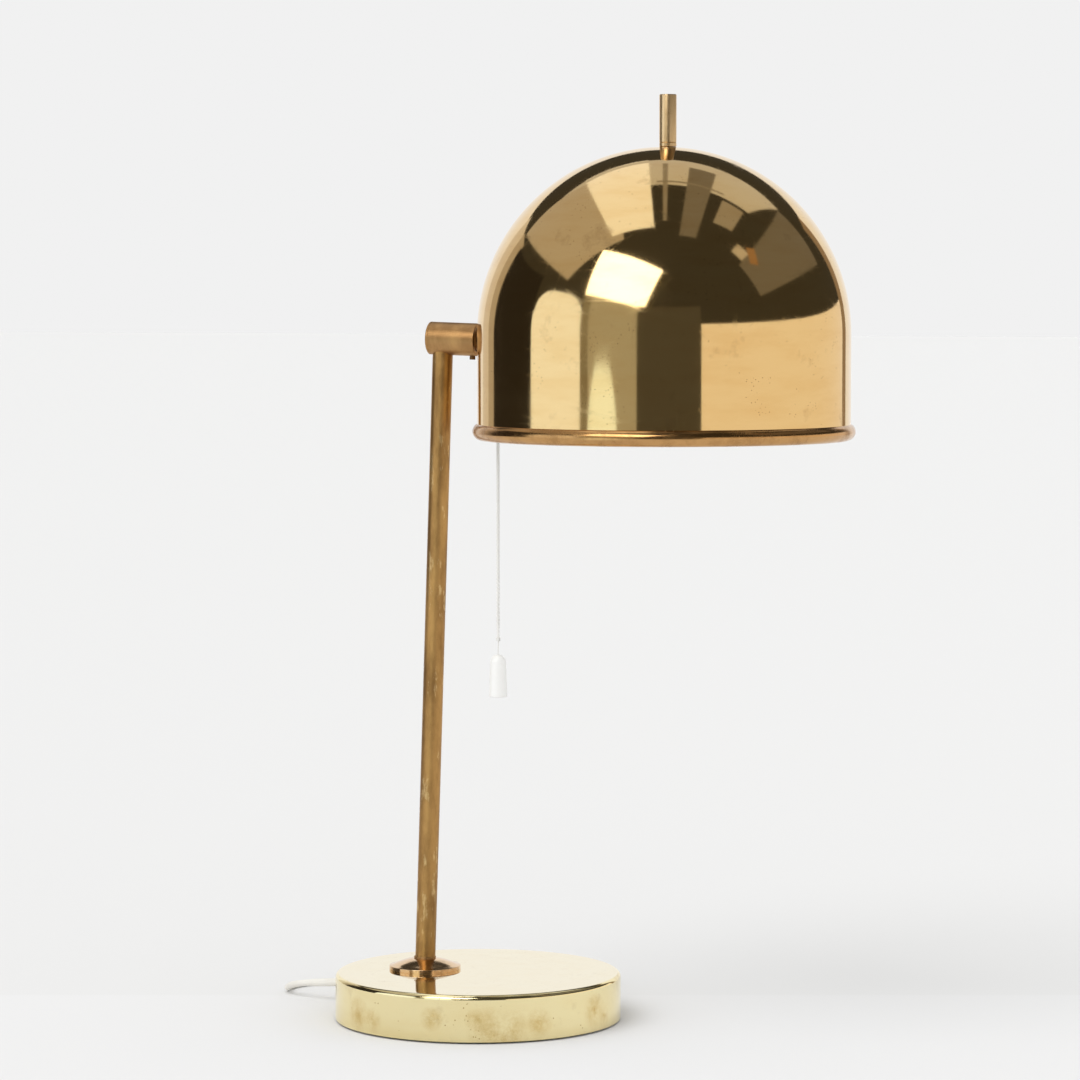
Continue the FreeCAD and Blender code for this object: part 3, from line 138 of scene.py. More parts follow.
def makeTurnedLines():
    look = lineLook
    group, start, end = newGroup(
        "turnedLines",
        [("Position", "NodeSocketVector", None), ("Centre", "NodeSocketVector", None),
         ("Fineness", "NodeSocketFloat", 2600.0), ("Length", "NodeSocketFloat", 5.0)],
        [("Height", "NodeSocketFloat"), ("Patches", "NodeSocketFloat")])
    moved = addNode(group, "ShaderNodeVectorMath", {0: start.outputs["Position"], 1: start.outputs["Centre"]},
                    operation="SUBTRACT")
    split = addNode(group, "ShaderNodeSeparateXYZ", {0: moved.outputs[0]})
    x, y, z = split.outputs
    radius = addMath(group, "SQRT", addMath(group, "ADD", addMath(group, "MULTIPLY", x, x),
                                            addMath(group, "MULTIPLY", y, y)))
    turn = addMath(group, "ARCTAN2", y, x)
    along = addMath(group, "MULTIPLY", turn, start.outputs["Length"])
    across = addMath(group, "MULTIPLY", addMath(group, "SUBTRACT", z, radius), start.outputs["Fineness"])
    line = addNode(group, "ShaderNodeCombineXYZ", {0: along, 1: across, 2: 0.0})
    fine = addNoise(group, line.outputs[0], 1.0, look["detail"], look["rough"])
    wide = addNode(group, "ShaderNodeCombineXYZ", {
        0: addMath(group, "MULTIPLY", turn, look["patchTurn"]),
        1: addMath(group, "MULTIPLY", across, look["patchAcross"]), 2: 0.0})
    patches = addNoise(group, wide.outputs[0], 1.0, look["patchDetail"], look["rough"])
    group.links.new(fine, end.inputs["Height"])
    group.links.new(patches, end.inputs["Patches"])
    return group


# hairline scratches in all directions, and the rub marks of years of wiping
handlingLook = {
    "width": 0.012,
    "gapScale": 90.0,
    "gapCut": 0.56,
    "smearScale": 14.0,
    # each run of scratches: how it is turned, and what it is stretched by
    "runs": (((0.4, 0.9, 0.3), (1.0, 0.06, 1.0)), ((1.1, 0.2, 1.3), (0.05, 1.0, 1.0)),
             ((0.2, 1.4, 2.0), (1.0, 1.0, 0.05))),
}


def makeHandling():
    look = handlingLook
    group, start, end = newGroup(
        "handlingMarks",
        [("Position", "NodeSocketVector", None), ("Scale", "NodeSocketFloat", 60.0),
         ("Amount", "NodeSocketFloat", 0.5)],
        [("Scratches", "NodeSocketFloat"), ("Smears", "NodeSocketFloat")])
    total = None
    for turn, stretch in look["runs"]:
        turned = addNode(group, "ShaderNodeMapping", {"Vector": start.outputs["Position"], "Rotation": turn,
                                                      "Scale": stretch})
        cells = addNode(group, "ShaderNodeTexVoronoi", {
            "Vector": turned.outputs[0], "Scale": start.outputs["Scale"]}, feature="DISTANCE_TO_EDGE")
        line = addMath(group, "LESS_THAN", cells.outputs["Distance"], look["width"])
        gaps = addNoise(group, turned.outputs[0], look["gapScale"], 2.0)
        line = addMath(group, "MULTIPLY", line, addMath(group, "GREATER_THAN", gaps, look["gapCut"]))
        total = line if total is None else addMath(group, "MAXIMUM", total, line)
    total = addMath(group, "MULTIPLY", total, start.outputs["Amount"])
    smears = addNoise(group, start.outputs["Position"], look["smearScale"], 5.0, 0.62)
    group.links.new(total, end.inputs["Scratches"])
    group.links.new(smears, end.inputs["Smears"])
    return group


# brown spots and blotches of tarnish, with small dark pits in them
tarnishLook = {"bareness": 0.7, "contrast": 6.0, "pitScale": 14.0, "pitSize": 0.16, "fieldScale": 2.4,
               "fieldCut": 0.6}


def makeTarnish():
    look = tarnishLook
    group, start, end = newGroup(
        "tarnish",
        [("Position", "NodeSocketVector", None), ("Scale", "NodeSocketFloat", 30.0),
         ("Cover", "NodeSocketFloat", 0.3)],
        [("Stain", "NodeSocketFloat"), ("Pits", "NodeSocketFloat")])
    place, scale = start.outputs["Position"], start.outputs["Scale"]
    blotch = addNoise(group, place, scale, 6.0, 0.66)
    bare = addMath(group, "SUBTRACT", 1.0, start.outputs["Cover"])
    bare = addMath(group, "MULTIPLY", bare, look["bareness"])
    stain = addMath(group, "MULTIPLY", addMath(group, "SUBTRACT", blotch, bare), look["contrast"], clamp=True)
    dots = addNode(group, "ShaderNodeTexVoronoi", {
        "Vector": place, "Scale": addMath(group, "MULTIPLY", scale, look["pitScale"])})
    pit = addMath(group, "LESS_THAN", dots.outputs["Distance"], look["pitSize"])
    field = addNoise(group, place, addMath(group, "MULTIPLY", scale, look["fieldScale"]), 2.0)
    rare = addMath(group, "GREATER_THAN", field, look["fieldCut"])
    group.links.new(stain, end.inputs["Stain"])
    group.links.new(addMath(group, "MULTIPLY", pit, rare), end.inputs["Pits"])
    return group


turnedLines = makeTurnedLines()
handlingMarks = makeHandling()
tarnishGroup = makeTarnish()


def useGroup(tree, group, links):
    return addNode(tree, "ShaderNodeGroup", links, node_tree=group)


def newMaterial(name, colour, metallic=0.0, roughness=0.5):
    material = bpy.data.materials.new(name)
    material.use_nodes = True
    tree = material.node_tree
    shader = tree.nodes["Principled BSDF"]
    shader.inputs["Base Color"].default_value = (*colour, 1)
    shader.inputs["Metallic"].default_value = metallic
    shader.inputs["Roughness"].default_value = roughness
    place = tree.nodes.new("ShaderNodeTexCoord").outputs["Object"]
    return material, tree, shader, place


def addBump(tree, shader, height, strength, distance, normal=None):
    links = {"Height": height, "Strength": strength, "Distance": distance}
    if normal is not None:
        links["Normal"] = normal
    bump = addNode(tree, "ShaderNodeBump", links)
    tree.links.new(bump.outputs[0], shader.inputs["Normal"])
    return bump.outputs[0]


# where the turned pieces stand, in mm along X from the middle of the base
axisX = {"shade": 122.134, "finial": 124.434, "stemFoot": -35.8}


# brass
shadeBrass = {
    "gold": (0.82, 0.58, 0.27),
    "deep": (0.74, 0.47, 0.18),
    "stain": (0.33, 0.17, 0.06),
    "rough": 0.055,
    "centre": axisX["shade"],
    "cover": 0.13,
    "stainScale": 34.0,
    "stainDepth": 0.45,
    "stainRough": 0.14,
    "pitDepth": 0.8,
    "scratch": 0.3,
    "scratchScale": 46.0,
    "scratchRough": 0.12,
    "scratchDepth": 0.05,
    "smearRough": 0.06,
    "lines": 0.05,
    "lineFineness": 2600.0,
    "lineDepth": 0.06,
    "coat": 0.12,
    "coatRough": 0.06,
}


def makeBrass(name, look):
    material, tree, shader, place = newMaterial(name, look["gold"], 1.0, look["rough"])
    turned = useGroup(tree, turnedLines, {"Position": place, "Centre": (look["centre"] * mm, 0.0, 0.0),
                                          "Fineness": look["lineFineness"]})
    marks = useGroup(tree, handlingMarks, {"Position": place, "Scale": look["scratchScale"],
                                           "Amount": look["scratch"]})
    tarnish = useGroup(tree, tarnishGroup, {"Position": place, "Scale": look["stainScale"],
                                            "Cover": look["cover"]})
    stain, scratches = tarnish.outputs["Stain"], marks.outputs["Scratches"]
    colour = addMix(tree, addRamp(tree, turned.outputs["Patches"], [(0.35, 0.0), (0.8, 0.5)]),
                    look["gold"], look["deep"])
    colour = addMix(tree, addMath(tree, "MULTIPLY", stain, look["stainDepth"]), colour, look["stain"])
    pits = addMath(tree, "MULTIPLY", tarnish.outputs["Pits"], look["pitDepth"])
    tree.links.new(addMix(tree, pits, colour, look["stain"]), shader.inputs["Base Color"])
    smears = addRamp(tree, marks.outputs["Smears"], [(0.4, 0.0), (0.8, 1.0)])
    rough = addMath(tree, "MULTIPLY_ADD", smears, look["smearRough"], look["rough"])
    rough = addMath(tree, "MULTIPLY_ADD", scratches, look["scratchRough"], rough)
    rough = addMath(tree, "MULTIPLY_ADD", stain, look["stainRough"], rough)
    tree.links.new(rough, shader.inputs["Roughness"])
    shader.inputs["Coat Weight"].default_value = look["coat"]
    shader.inputs["Coat Roughness"].default_value = look["coatRough"]
    first = addBump(tree, shader, turned.outputs["Height"], look["lines"], look["lineDepth"] * mm)
    addBump(tree, shader, scratches, look["lines"] * 1.5, look["scratchDepth"] * mm, first)
    return material


brassShade = makeBrass("brassShade", shadeBrass)
# the bead gets a darker, redder copy of the shade's brass: painted shade on the bead, with heavier real
# tarnish
brassRimShadeAndTarnish = makeBrass("brassRimShadeAndTarnish", dict(
    shadeBrass, gold=(0.60, 0.34, 0.13), deep=(0.46, 0.24, 0.09), rough=0.16, cover=0.34, stainScale=70.0))
brassBase = makeBrass("brassBase", dict(
    shadeBrass, gold=(0.95, 0.83, 0.48), deep=(0.90, 0.74, 0.38), stain=(0.45, 0.28, 0.10),
    rough=0.06, centre=0.0, cover=0.18, stainScale=26.0, scratch=0.4, lines=0.035))
# the top face gets a paler, creamier copy of the base brass with fewer stains: a painted reflection of the
# pale backdrop
brassBaseTopPaintedReflection = makeBrass("brassBaseTopPaintedReflection", dict(
    shadeBrass, gold=(0.93, 0.84, 0.60), deep=(0.90, 0.78, 0.50), stain=(0.6, 0.42, 0.2),
    rough=0.05, centre=0.0, cover=0.08, stainScale=30.0, scratch=0.4, lines=0.03))
brassFlange = makeBrass("brassFlange", dict(
    shadeBrass, gold=(0.80, 0.56, 0.33), deep=(0.68, 0.44, 0.22), rough=0.12,
    centre=axisX["stemFoot"], cover=0.26, stainScale=80.0, lines=0.10))
brassFinial = makeBrass("brassFinial", dict(
    shadeBrass, gold=(0.86, 0.62, 0.34), deep=(0.72, 0.48, 0.23), rough=0.30,
    centre=axisX["finial"], cover=0.2, stainScale=90.0))


# old finger and water marks on the base's side
stainLook = {
    "tone": (0.66, 0.44, 0.13),
    "depth": 0.8,
    "rough": 0.2,
    "facing": 17.6,
    # each mark: degrees round from the camera's side, height and reach in mm
    "marks": [(-53, 12, 12), (-44, 10, 9), (-16, 15, 8), (2, 15, 8), (7, 9, 15), (15, 8, 14), (27, 12, 10),
              (56, 14, 12), (62, 9, 8), (150, 14, 12), (-140, 9, 15)],
}


def addStains(material, look, radius):
    tree = material.node_tree
    shader = tree.nodes["Principled BSDF"]
    place = tree.nodes.new("ShaderNodeTexCoord").outputs["Object"]
    cloud = addNoise(tree, place, 150.0, 8.0, 0.78)
    broad = addNoise(tree, place, 45.0, 3.0, 0.5)
    out = radius * mm
    total = None
    for turn, height, reach in look["marks"]:
        angle = math.radians(turn + look["facing"])
        spot = (out * math.sin(angle), -out * math.cos(angle), height * mm)
        away = addNode(tree, "ShaderNodeVectorMath", {0: place, 1: spot}, operation="DISTANCE")
        share = addMath(tree, "DIVIDE", away.outputs["Value"], reach * mm)
        near = addMath(tree, "SUBTRACT", 1.0, share, clamp=True)
        total = near if total is None else addMath(tree, "MAXIMUM", total, near)
    # the mark thins out towards its edge, and the noise breaks it into streaks and grains
    mixed = addMath(tree, "ADD", addMath(tree, "MULTIPLY", cloud, 1.5), addMath(tree, "MULTIPLY", broad, 0.9))
    mark = addMath(tree, "MULTIPLY", addMath(tree, "SUBTRACT", mixed, 0.95), 2.2, clamp=True)
    mark = addMath(tree, "MULTIPLY", mark, addMath(tree, "POWER", total, 0.8))
    before = shader.inputs["Base Color"].links[0].from_socket
    colour = addMix(tree, addMath(tree, "MULTIPLY", mark, look["depth"]), before, look["tone"])
    tree.links.new(colour, shader.inputs["Base Color"])
    before = shader.inputs["Roughness"].links[0].from_socket
    tree.links.new(addMath(tree, "MULTIPLY_ADD", mark, look["rough"], before), shader.inputs["Roughness"])


# brass left unlacquered, gone brown under the hands, with specks rubbed bright
agedLook = {
    "brown": (0.57, 0.33, 0.115),
    "dark": (0.30, 0.16, 0.055),
    "worn": (0.82, 0.60, 0.29),
    "rough": 0.42,
    "speckStart": 0.625,
    "speckDepth": 0.55,
    "pitDepth": 0.6,
    "grainDepth": 0.12,
    "waveDepth": 0.3,
}


def makeAged(name, look):
    material, tree, shader, place = newMaterial(name, look["brown"], 1.0, look["rough"])
    stretched = addNode(tree, "ShaderNodeMapping", {"Vector": place, "Scale": (1.0, 1.0, 0.28)})
    cloud = addNoise(tree, stretched.outputs[0], 70.0, 6.0, 0.65)
    colour = addMix(tree, addRamp(tree, cloud, [(0.34, 0.0), (0.68, 1.0)]), look["dark"], look["brown"])
    specks = addNoise(tree, stretched.outputs[0], 240.0, 5.0, 0.7)
    area = addNoise(tree, place, 22.0, 3.0, 0.5)
    mixed = addMath(tree, "MULTIPLY_ADD", area, 0.5, addMath(tree, "MULTIPLY", specks, 0.62))
    speckMask = addRamp(tree, mixed, [(look["speckStart"], 0.0), (look["speckStart"] + 0.07, 1.0)])
    colour = addMix(tree, addMath(tree, "MULTIPLY", speckMask, look["speckDepth"]), colour, look["worn"])
    tarnish = useGroup(tree, tarnishGroup, {"Position": place, "Scale": 60.0, "Cover": 0.3})
    pits = addMath(tree, "MULTIPLY", tarnish.outputs["Pits"], look["pitDepth"])
    tree.links.new(addMix(tree, pits, colour, look["dark"]), shader.inputs["Base Color"])
    rough = addMath(tree, "MULTIPLY_ADD", cloud, 0.22, look["rough"] - 0.11)
    rough = addMath(tree, "MULTIPLY_ADD", speckMask, -0.10, rough)
    tree.links.new(rough, shader.inputs["Roughness"])
    first = addBump(tree, shader, specks, 0.25, look["grainDepth"] * mm)
    addBump(tree, shader, cloud, 0.2, look["waveDepth"] * mm, first)
    return material


brassAged = makeAged("brassAged", agedLook)
brassBarrel = makeAged("brassBarrel", dict(
    agedLook, brown=(0.56, 0.33, 0.135), dark=(0.38, 0.21, 0.085), rough=0.44, speckStart=0.66))
# the ball and its set screw get a much darker copy of the aged brass: painted shade inside the barrel's mouth
# and under it
brassBallPaintedShade = makeAged("brassBallPaintedShade", dict(
    agedLook, brown=(0.20, 0.11, 0.05), dark=(0.10, 0.055, 0.025), rough=0.34, speckStart=0.67))


# the plainer finishes: lacquer, metals, resin, ceramic and plastics
def makePlain(name, colour, second, metallic=0.0, rough=0.5, scale=40.0, bump=0.1, depth=0.2):
    material, tree, shader, place = newMaterial(name, colour, metallic, rough)
    cloud = addNoise(tree, place, scale, 5.0, 0.6)
    fine = addNoise(tree, place, scale * 14.0, 3.0, 0.6)
    tree.links.new(addMix(tree, addRamp(tree, cloud, [(0.35, 0.0), (0.7, 1.0)]), colour, second),
                   shader.inputs["Base Color"])
    tree.links.new(addMath(tree, "MULTIPLY_ADD", cloud, 0.16, rough - 0.08), shader.inputs["Roughness"])
    addBump(tree, shader, fine, bump, depth * mm)
    return material


whiteInside = makePlain("whiteInside", (0.84, 0.83, 0.79), (0.80, 0.78, 0.72), rough=0.42, scale=18.0)
steelZinc = makePlain("steelZinc", (0.60, 0.61, 0.62), (0.50, 0.51, 0.53), 1.0, 0.34, 90.0)
castIron = makePlain("castIron", (0.05, 0.05, 0.052), (0.09, 0.085, 0.08), 0.4, 0.7, 60.0, 0.6, 0.5)
darkResin = makePlain("darkResin", (0.035, 0.022, 0.016), (0.05, 0.03, 0.02), 0.0, 0.3, 70.0)
porcelain = makePlain("porcelain", (0.86, 0.85, 0.82), (0.82, 0.80, 0.76), 0.0, 0.18, 30.0)
plainBrass = makePlain("plainBrass", (0.72, 0.50, 0.20), (0.60, 0.38, 0.14), 1.0, 0.26, 70.0)
nickel = makePlain("nickelCap", (0.66, 0.65, 0.62), (0.56, 0.55, 0.52), 1.0, 0.28, 80.0)
whitePlastic = makePlain("whitePlastic", (0.95, 0.95, 0.93), (0.92, 0.915, 0.89), 0.0, 0.34, 60.0, 0.12)
leadWhite = makePlain("leadWhite", (0.86, 0.84, 0.78), (0.82, 0.79, 0.72), 0.0, 0.42, 50.0, 0.15)
nylonWhite = makePlain("nylonWhite", (0.84, 0.83, 0.80), (0.80, 0.79, 0.75), 0.0, 0.4, 50.0)


def makeFelt():
    material, tree, shader, place = newMaterial("feltGreen", (0.05, 0.09, 0.06), 0.0, 0.95)
    hairs = addNoise(tree, place, 900.0, 6.0, 0.8)
    lumps = addNoise(tree, place, 120.0, 3.0, 0.6)
    colour = addMix(tree, hairs, (0.035, 0.065, 0.045), (0.10, 0.15, 0.11))
    tree.links.new(colour, shader.inputs["Base Color"])
    shader.inputs["Sheen Weight"].default_value = 0.4
    first = addBump(tree, shader, hairs, 0.8, 0.0006)
    addBump(tree, shader, lumps, 0.4, 0.001, first)
    return material


# yarn: fine fibres drawn out along the cord, with a little soil
def makeYarn():
    material, tree, shader, place = newMaterial("yarnWhite", (0.88, 0.87, 0.84), 0.0, 0.8)
    stretched = addNode(tree, "ShaderNodeMapping", {"Vector": place, "Scale": (1.0, 1.0, 0.35)})
    fibre = addNoise(tree, stretched.outputs[0], 3800.0, 4.0, 0.7)
    soil = addNoise(tree, place, 60.0, 3.0, 0.5)
    colour = addMix(tree, fibre, (0.80, 0.79, 0.75), (0.93, 0.92, 0.90))
    colour = addMix(tree, addRamp(tree, soil, [(0.5, 0.0), (0.9, 0.35)]), colour, (0.74, 0.70, 0.62))
    tree.links.new(colour, shader.inputs["Base Color"])
    shader.inputs["Sheen Weight"].default_value = 0.25
    addBump(tree, shader, fibre, 0.5, 0.0001)
    return material


def makeOpal():
    material, tree, shader, place = newMaterial("opalGlass", (0.90, 0.89, 0.86), 0.0, 0.22)
    cloud = addNoise(tree, place, 30.0, 4.0, 0.5)
    tree.links.new(addMix(tree, cloud, (0.92, 0.91, 0.88), (0.86, 0.85, 0.82)), shader.inputs["Base Color"])
    tree.links.new(addMath(tree, "MULTIPLY_ADD", cloud, 0.1, 0.16), shader.inputs["Roughness"])
    shader.inputs["Subsurface Weight"].default_value = 0.2
    shader.inputs["Subsurface Scale"].default_value = 0.004
    return material


feltGreen = makeFelt()
yarnWhite = makeYarn()
opalGlass = makeOpal()
print("materials made")


# mesh helpers
def finishMesh(name, mesh, materials, body, sharp=32.0):
    mesh.validate()
    for material in materials:
        mesh.materials.append(material)
    mesh.shade_smooth()
    mesh.set_sharp_from_angle(angle=math.radians(sharp))
    piece = addObject(name, mesh)
    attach(piece, body)
    return piece


# faces between two rings, either of which may be a single point on the axis
def joinRings(work, lower, upper, band=0):
    count = max(len(lower), len(upper))
    if count == 1:
        return
    for step in range(count):
        after = (step + 1) % count
        if len(lower) == 1:
            face = work.faces.new((lower[0], upper[after], upper[step]))
        elif len(upper) == 1:
            face = work.faces.new((lower[step], lower[after], upper[0]))
        else:
            face = work.faces.new((lower[step], lower[after], upper[after], upper[step]))
        face.material_index = band


def closeMesh(name, work):
    mesh = bpy.data.meshes.new(name)
    bmesh.ops.recalc_face_normals(work, faces=work.faces)
    work.to_mesh(mesh)
    work.free()
    return mesh


# corners: (radius, height) in mm; a third value is the material of the band that starts there
def latheMesh(name, corners, place, facets):
    work = bmesh.new()
    rings = []
    for corner in corners:
        radius, height = corner[0] * mm, corner[1] * mm
        if radius < 1e-9:
            rings.append([work.verts.new(place @ Vector((0, 0, height)))])
            continue
        rings.append([
            work.verts.new(place @ Vector((radius * math.cos(step), radius * math.sin(step), height)))
            for step in (2 * math.pi * index / facets for index in range(facets))])
    for index, lower in enumerate(rings):
        band = corners[index][2] if len(corners[index]) > 2 else 0
        joinRings(work, lower, rings[(index + 1) % len(rings)], band)
    return closeMesh(name, work)


def arcCorners(centre, radius, first, last, steps, band=0):
    out = []
    for index in range(steps + 1):
        angle = math.radians(first + (last - first) * index / steps)
        out.append((centre[0] + radius * math.cos(angle), centre[1] + radius * math.sin(angle), band))
    return out


def upright(x, y, z):
    return Matrix.Translation((x * mm, y * mm, z * mm))


def lying(place, direction):
    turn = Vector(direction).normalized().to_track_quat("Z", "Y").to_matrix().to_4x4()
    return Matrix.Translation(Vector(place) * mm) @ turn


# shade: dome, skirt and the bead round its rim
shadeSizes = {
    "radius": 115.0,
    "thick": 0.9,
    "rim": 367.0,
    "skirt": 64.7,
    "bead": 5.2,
    "beadInset": 2.4,
    "wallFoot": 10.6,
    "liningFoot": 10.3,
    "facets": 288,
}


def makeShade():
    size = shadeSizes
    radius, thick, skirt = size["radius"], size["thick"], size["skirt"]
    bead, inset, wallFoot = size["bead"], size["beadInset"], size["wallFoot"]
    outside, rim, lining = 0, 1, 2
    beadCentre = (radius - inset, bead)
    outerTop = math.degrees(math.acos(inset / bead))
    innerBead, innerInset = bead - thick, inset - thick
    innerTop = math.degrees(math.acos(innerInset / innerBead))
    corners = arcCorners(beadCentre, bead, -90, outerTop, 30, rim)
    corners[-1] = (*corners[-1][:2], outside)
    corners += [(radius, wallFoot + (skirt - wallFoot) * step / 6, outside) for step in range(1, 6)]
    corners += arcCorners((0, skirt), radius, 0, 90, 72, outside)[:-1]
    corners += [(0, skirt + radius, outside), (0, skirt + radius - thick, lining)]
    corners += arcCorners((0, skirt), radius - thick, 90, 0, 60, lining)[1:]
    corners += [(radius - thick, size["liningFoot"], lining)]
    corners += arcCorners(beadCentre, innerBead, innerTop, -90, 20, lining)
    mesh = latheMesh("shadeSheet", corners, upright(axisX["shade"], 0, size["rim"]), size["facets"])
    # the bead band wears the darker copy of the brass, painted shade
    shade = finishMesh("shadeSheet", mesh, [brassShade, brassRimShadeAndTarnish, whiteInside], "head", 24)
    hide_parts("shade_dome", "shade_skirt")


# finial: plain turned rod with a fine shadow line at its foot and a dished top
finialSizes = {
    "radius": 5.25,
    "height": 32.0,
    "foot": 546.7,
    "edge": 0.5,
    "groove": 0.25,
    "grooveLevel": 2.5,
    "grooveReach": 0.3,
    "topRim": 1.6,
    "dishRim": 1.8,
    "dishDepth": 0.12,
    "facets": 96,
}


def makeFinial():
    size = finialSizes
    radius, height, edge, groove = size["radius"], size["height"], size["edge"], size["groove"]
    level, reach, dish = size["grooveLevel"], size["grooveReach"], height - size["dishDepth"]
    corners = [(0, 0), (radius - groove, 0), (radius, groove), (radius, level - reach),
               (radius - groove, level), (radius, level + reach), (radius, height - edge)]
    corners += arcCorners((radius - edge, height - edge), edge, 15, 90, 5)
    corners += [(radius - size["topRim"], height), (radius - size["dishRim"], dish), (0, dish)]
    mesh = latheMesh("finialTurned", corners, upright(axisX["finial"], 0, size["foot"]), size["facets"])
    finial = finishMesh("finialTurned", mesh, [brassFinial], "head")
    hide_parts("finial_rod")


# base: one spun cup over the iron disc
baseSizes = {
    "radius": 90.0,
    "height": 30.0,
    "wall": 1.2,
    "edge": 3.0,
    "lift": 1.2,
    "mouthIn": 0.25,
    "mouthUp": 0.3,
    "sideFoot": 2.0,
    "sideTurn": 68,
    "topTurn": 70,
    "facets": 288,
}


def makeBase():
    size = baseSizes
    radius, height, wall, edge = size["radius"], size["height"], size["wall"], size["edge"]
    lift, sideFoot = size["lift"], size["sideFoot"]
    side, top, inside = 0, 1, 2
    edgeCentre = (radius - edge, height - edge)
    corners = [(radius - size["mouthIn"], lift, side), (radius, lift + size["mouthUp"], side)]
    corners += [(radius, sideFoot + (height - edge - sideFoot) * step / 5, side) for step in range(5)]
    corners += arcCorners(edgeCentre, edge, 0, size["sideTurn"], 11, side)
    corners += arcCorners(edgeCentre, edge, size["topTurn"], 90, 4, top)
    corners += [(radius * share, height, top) for share in (0.9, 0.75, 0.6, 0.45, 0.3, 0.15)]
    corners += [(0, height, top), (0, height - wall, inside)]
    corners += arcCorners(edgeCentre, edge - wall, 90, 0, 8, inside)
    corners += [(radius - wall, lift, inside)]
    addStains(brassBase, stainLook, radius)
    mesh = latheMesh("baseCup", corners, upright(0, 0, 0), size["facets"])
    # the top face's bands wear the paler copy of the brass, a painted reflection
    base = finishMesh("baseCup", mesh, [brassBase, brassBaseTopPaintedReflection, plainBrass], "stand", 24)
    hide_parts("base_shell")


# foot of the stem: grooved rim, swept top and the ring above it
footSizes = {
    "radius": 22.55,
    "bore": 5.9,
    "rim": 2.3,
    "rise": 4.3,
    "edge": 0.3,
    "groove": 0.2,
    "grooveLevels": (0.32, 0.68),
    "shoulder": 1.2,
    "sweep": 1.45,
    "ring": 7.0,
    "ringHeight": 1.4,
    "ringRound": 0.5,
    "ringFootIn": 0.2,
    "ringTopIn": 0.3,
    "facets": 160,
    "ringFacets": 96,
}


def makeFoot():
    size = footSizes
    radius, bore, rim, groove, edge = size["radius"], size["bore"], size["rim"], size["groove"], size["edge"]
    rise, shoulder, ring, ringHeight = size["rise"], size["shoulder"], size["ring"], size["ringHeight"]
    baseTop, top = baseSizes["height"], rim + rise
    corners = [(bore, 0), (radius - groove, 0), (radius, groove)]
    for share in size["grooveLevels"]:
        level = rim * share
        corners += [(radius, level - groove), (radius - groove * 0.7, level - groove * 0.4),
                    (radius - groove, level), (radius - groove * 0.7, level + groove * 0.4),
                    (radius, level + groove)]
    corners += arcCorners((radius - edge, rim - edge), edge, 0, 75, 5)
    for step in range(1, 13):
        share = step / 12
        out = radius - shoulder + (ring - radius + shoulder) * share
        corners.append((out, rim + rise * (1 - (1 - share) ** size["sweep"])))
    corners.append((bore, top))
    mesh = latheMesh("stemFlange", corners, upright(axisX["stemFoot"], 0, baseTop), size["facets"])
    flange = finishMesh("stemFlange", mesh, [brassFlange], "stand", 40)
    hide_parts("stem_flange")
    corners = [(bore, 0), (ring - size["ringFootIn"], 0)]
    corners += arcCorners((ring - size["ringRound"], ringHeight / 2), size["ringRound"], -60, 60, 8)
    corners += [(ring - size["ringTopIn"], ringHeight), (bore, ringHeight)]
    place = upright(axisX["stemFoot"], 0, baseTop + top)
    mesh = latheMesh("stemFootRing", corners, place, size["ringFacets"])
    footRing = finishMesh("stemFootRing", mesh, [brassBarrel], "stand")
    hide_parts("stem_foot_ring")


# stem and barrel
stemSizes = {
    "lean": 1.86,
    "pivotZ": 428.6,
    "start": 38.0,
    "radius": 6.35,
    "inside": 5.05,
    "seat": 0.15,
    # heights of the rings between the two cut ends, below the barrel's axis
    "levels": (-300, -200, -100, -30),
    "facets": 64,
}
barrelSizes = {
    "radius": 10.25,
    "front": 23.4,
    "back": 8.5,
    "bore": 8.04,
    "edge": 0.12,
    "frontRound": 0.3,
    "lip": 7.3,
    "lipEnd": 3.0,
    "boreStart": 3.4,
    "chamfer": 0.7,
    "cap": 1.6,
    "bulge": 1.1,
    "capInset": 0.4,
    "capShadow": 0.1,
    "capShoulder": 0.35,
    "capEdge": 0.15,
    "spigot": 8.0,
    "spigotLength": 2,
    "facets": 128,
}
lean = math.radians(stemSizes["lean"])
pivotPoint = Vector((axisX["stemFoot"] + (stemSizes["pivotZ"] - baseSizes["height"]) * math.tan(lean),
                     0, stemSizes["pivotZ"]))
stemUp = Vector((math.sin(lean), 0, math.cos(lean)))
barrelOut = Vector((math.cos(lean), 0, -math.sin(lean)))


# a height on the tube: its lower end is cut level on the foot ring, its upper end to the barrel's round
def stemHeight(level, x, y):
    if level == "foot":
        return -(stemSizes["pivotZ"] - stemSizes["start"]) / math.cos(lean) + x * math.tan(lean)
    if level == "saddle":
        return -math.sqrt(barrelSizes["radius"] ** 2 - y * y) + stemSizes["seat"]
    return level


def makeStem():
    size = stemSizes
    facets = size["facets"]
    # X along the barrel, Y level, Z up the stem
    place = Matrix.Translation(pivotPoint * mm) @ Matrix(
        (barrelOut, Vector((0, 1, 0)), stemUp)).transposed().to_4x4()
    work = bmesh.new()
    walls = []
    for radius in (size["radius"], size["inside"]):
        wall = []
        for level in ("foot", *size["levels"], "saddle"):
            ring = []
            for index in range(facets):
                angle = 2 * math.pi * index / facets
                x, y = radius * math.cos(angle), radius * math.sin(angle)
                ring.append(work.verts.new(place @ Vector((x * mm, y * mm, stemHeight(level, x, y) * mm))))
            wall.append(ring)
        walls.append(wall)
    outer, inner = walls
    pairs = [pair for wall in walls for pair in zip(wall, wall[1:])]
    for lower, upper in [*pairs, (outer[0], inner[0]), (outer[-1], inner[-1])]:
        joinRings(work, lower, upper)
    stem = finishMesh("stemTube", closeMesh("stemTube", work), [brassAged], "stand")
    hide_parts("stem_tube")


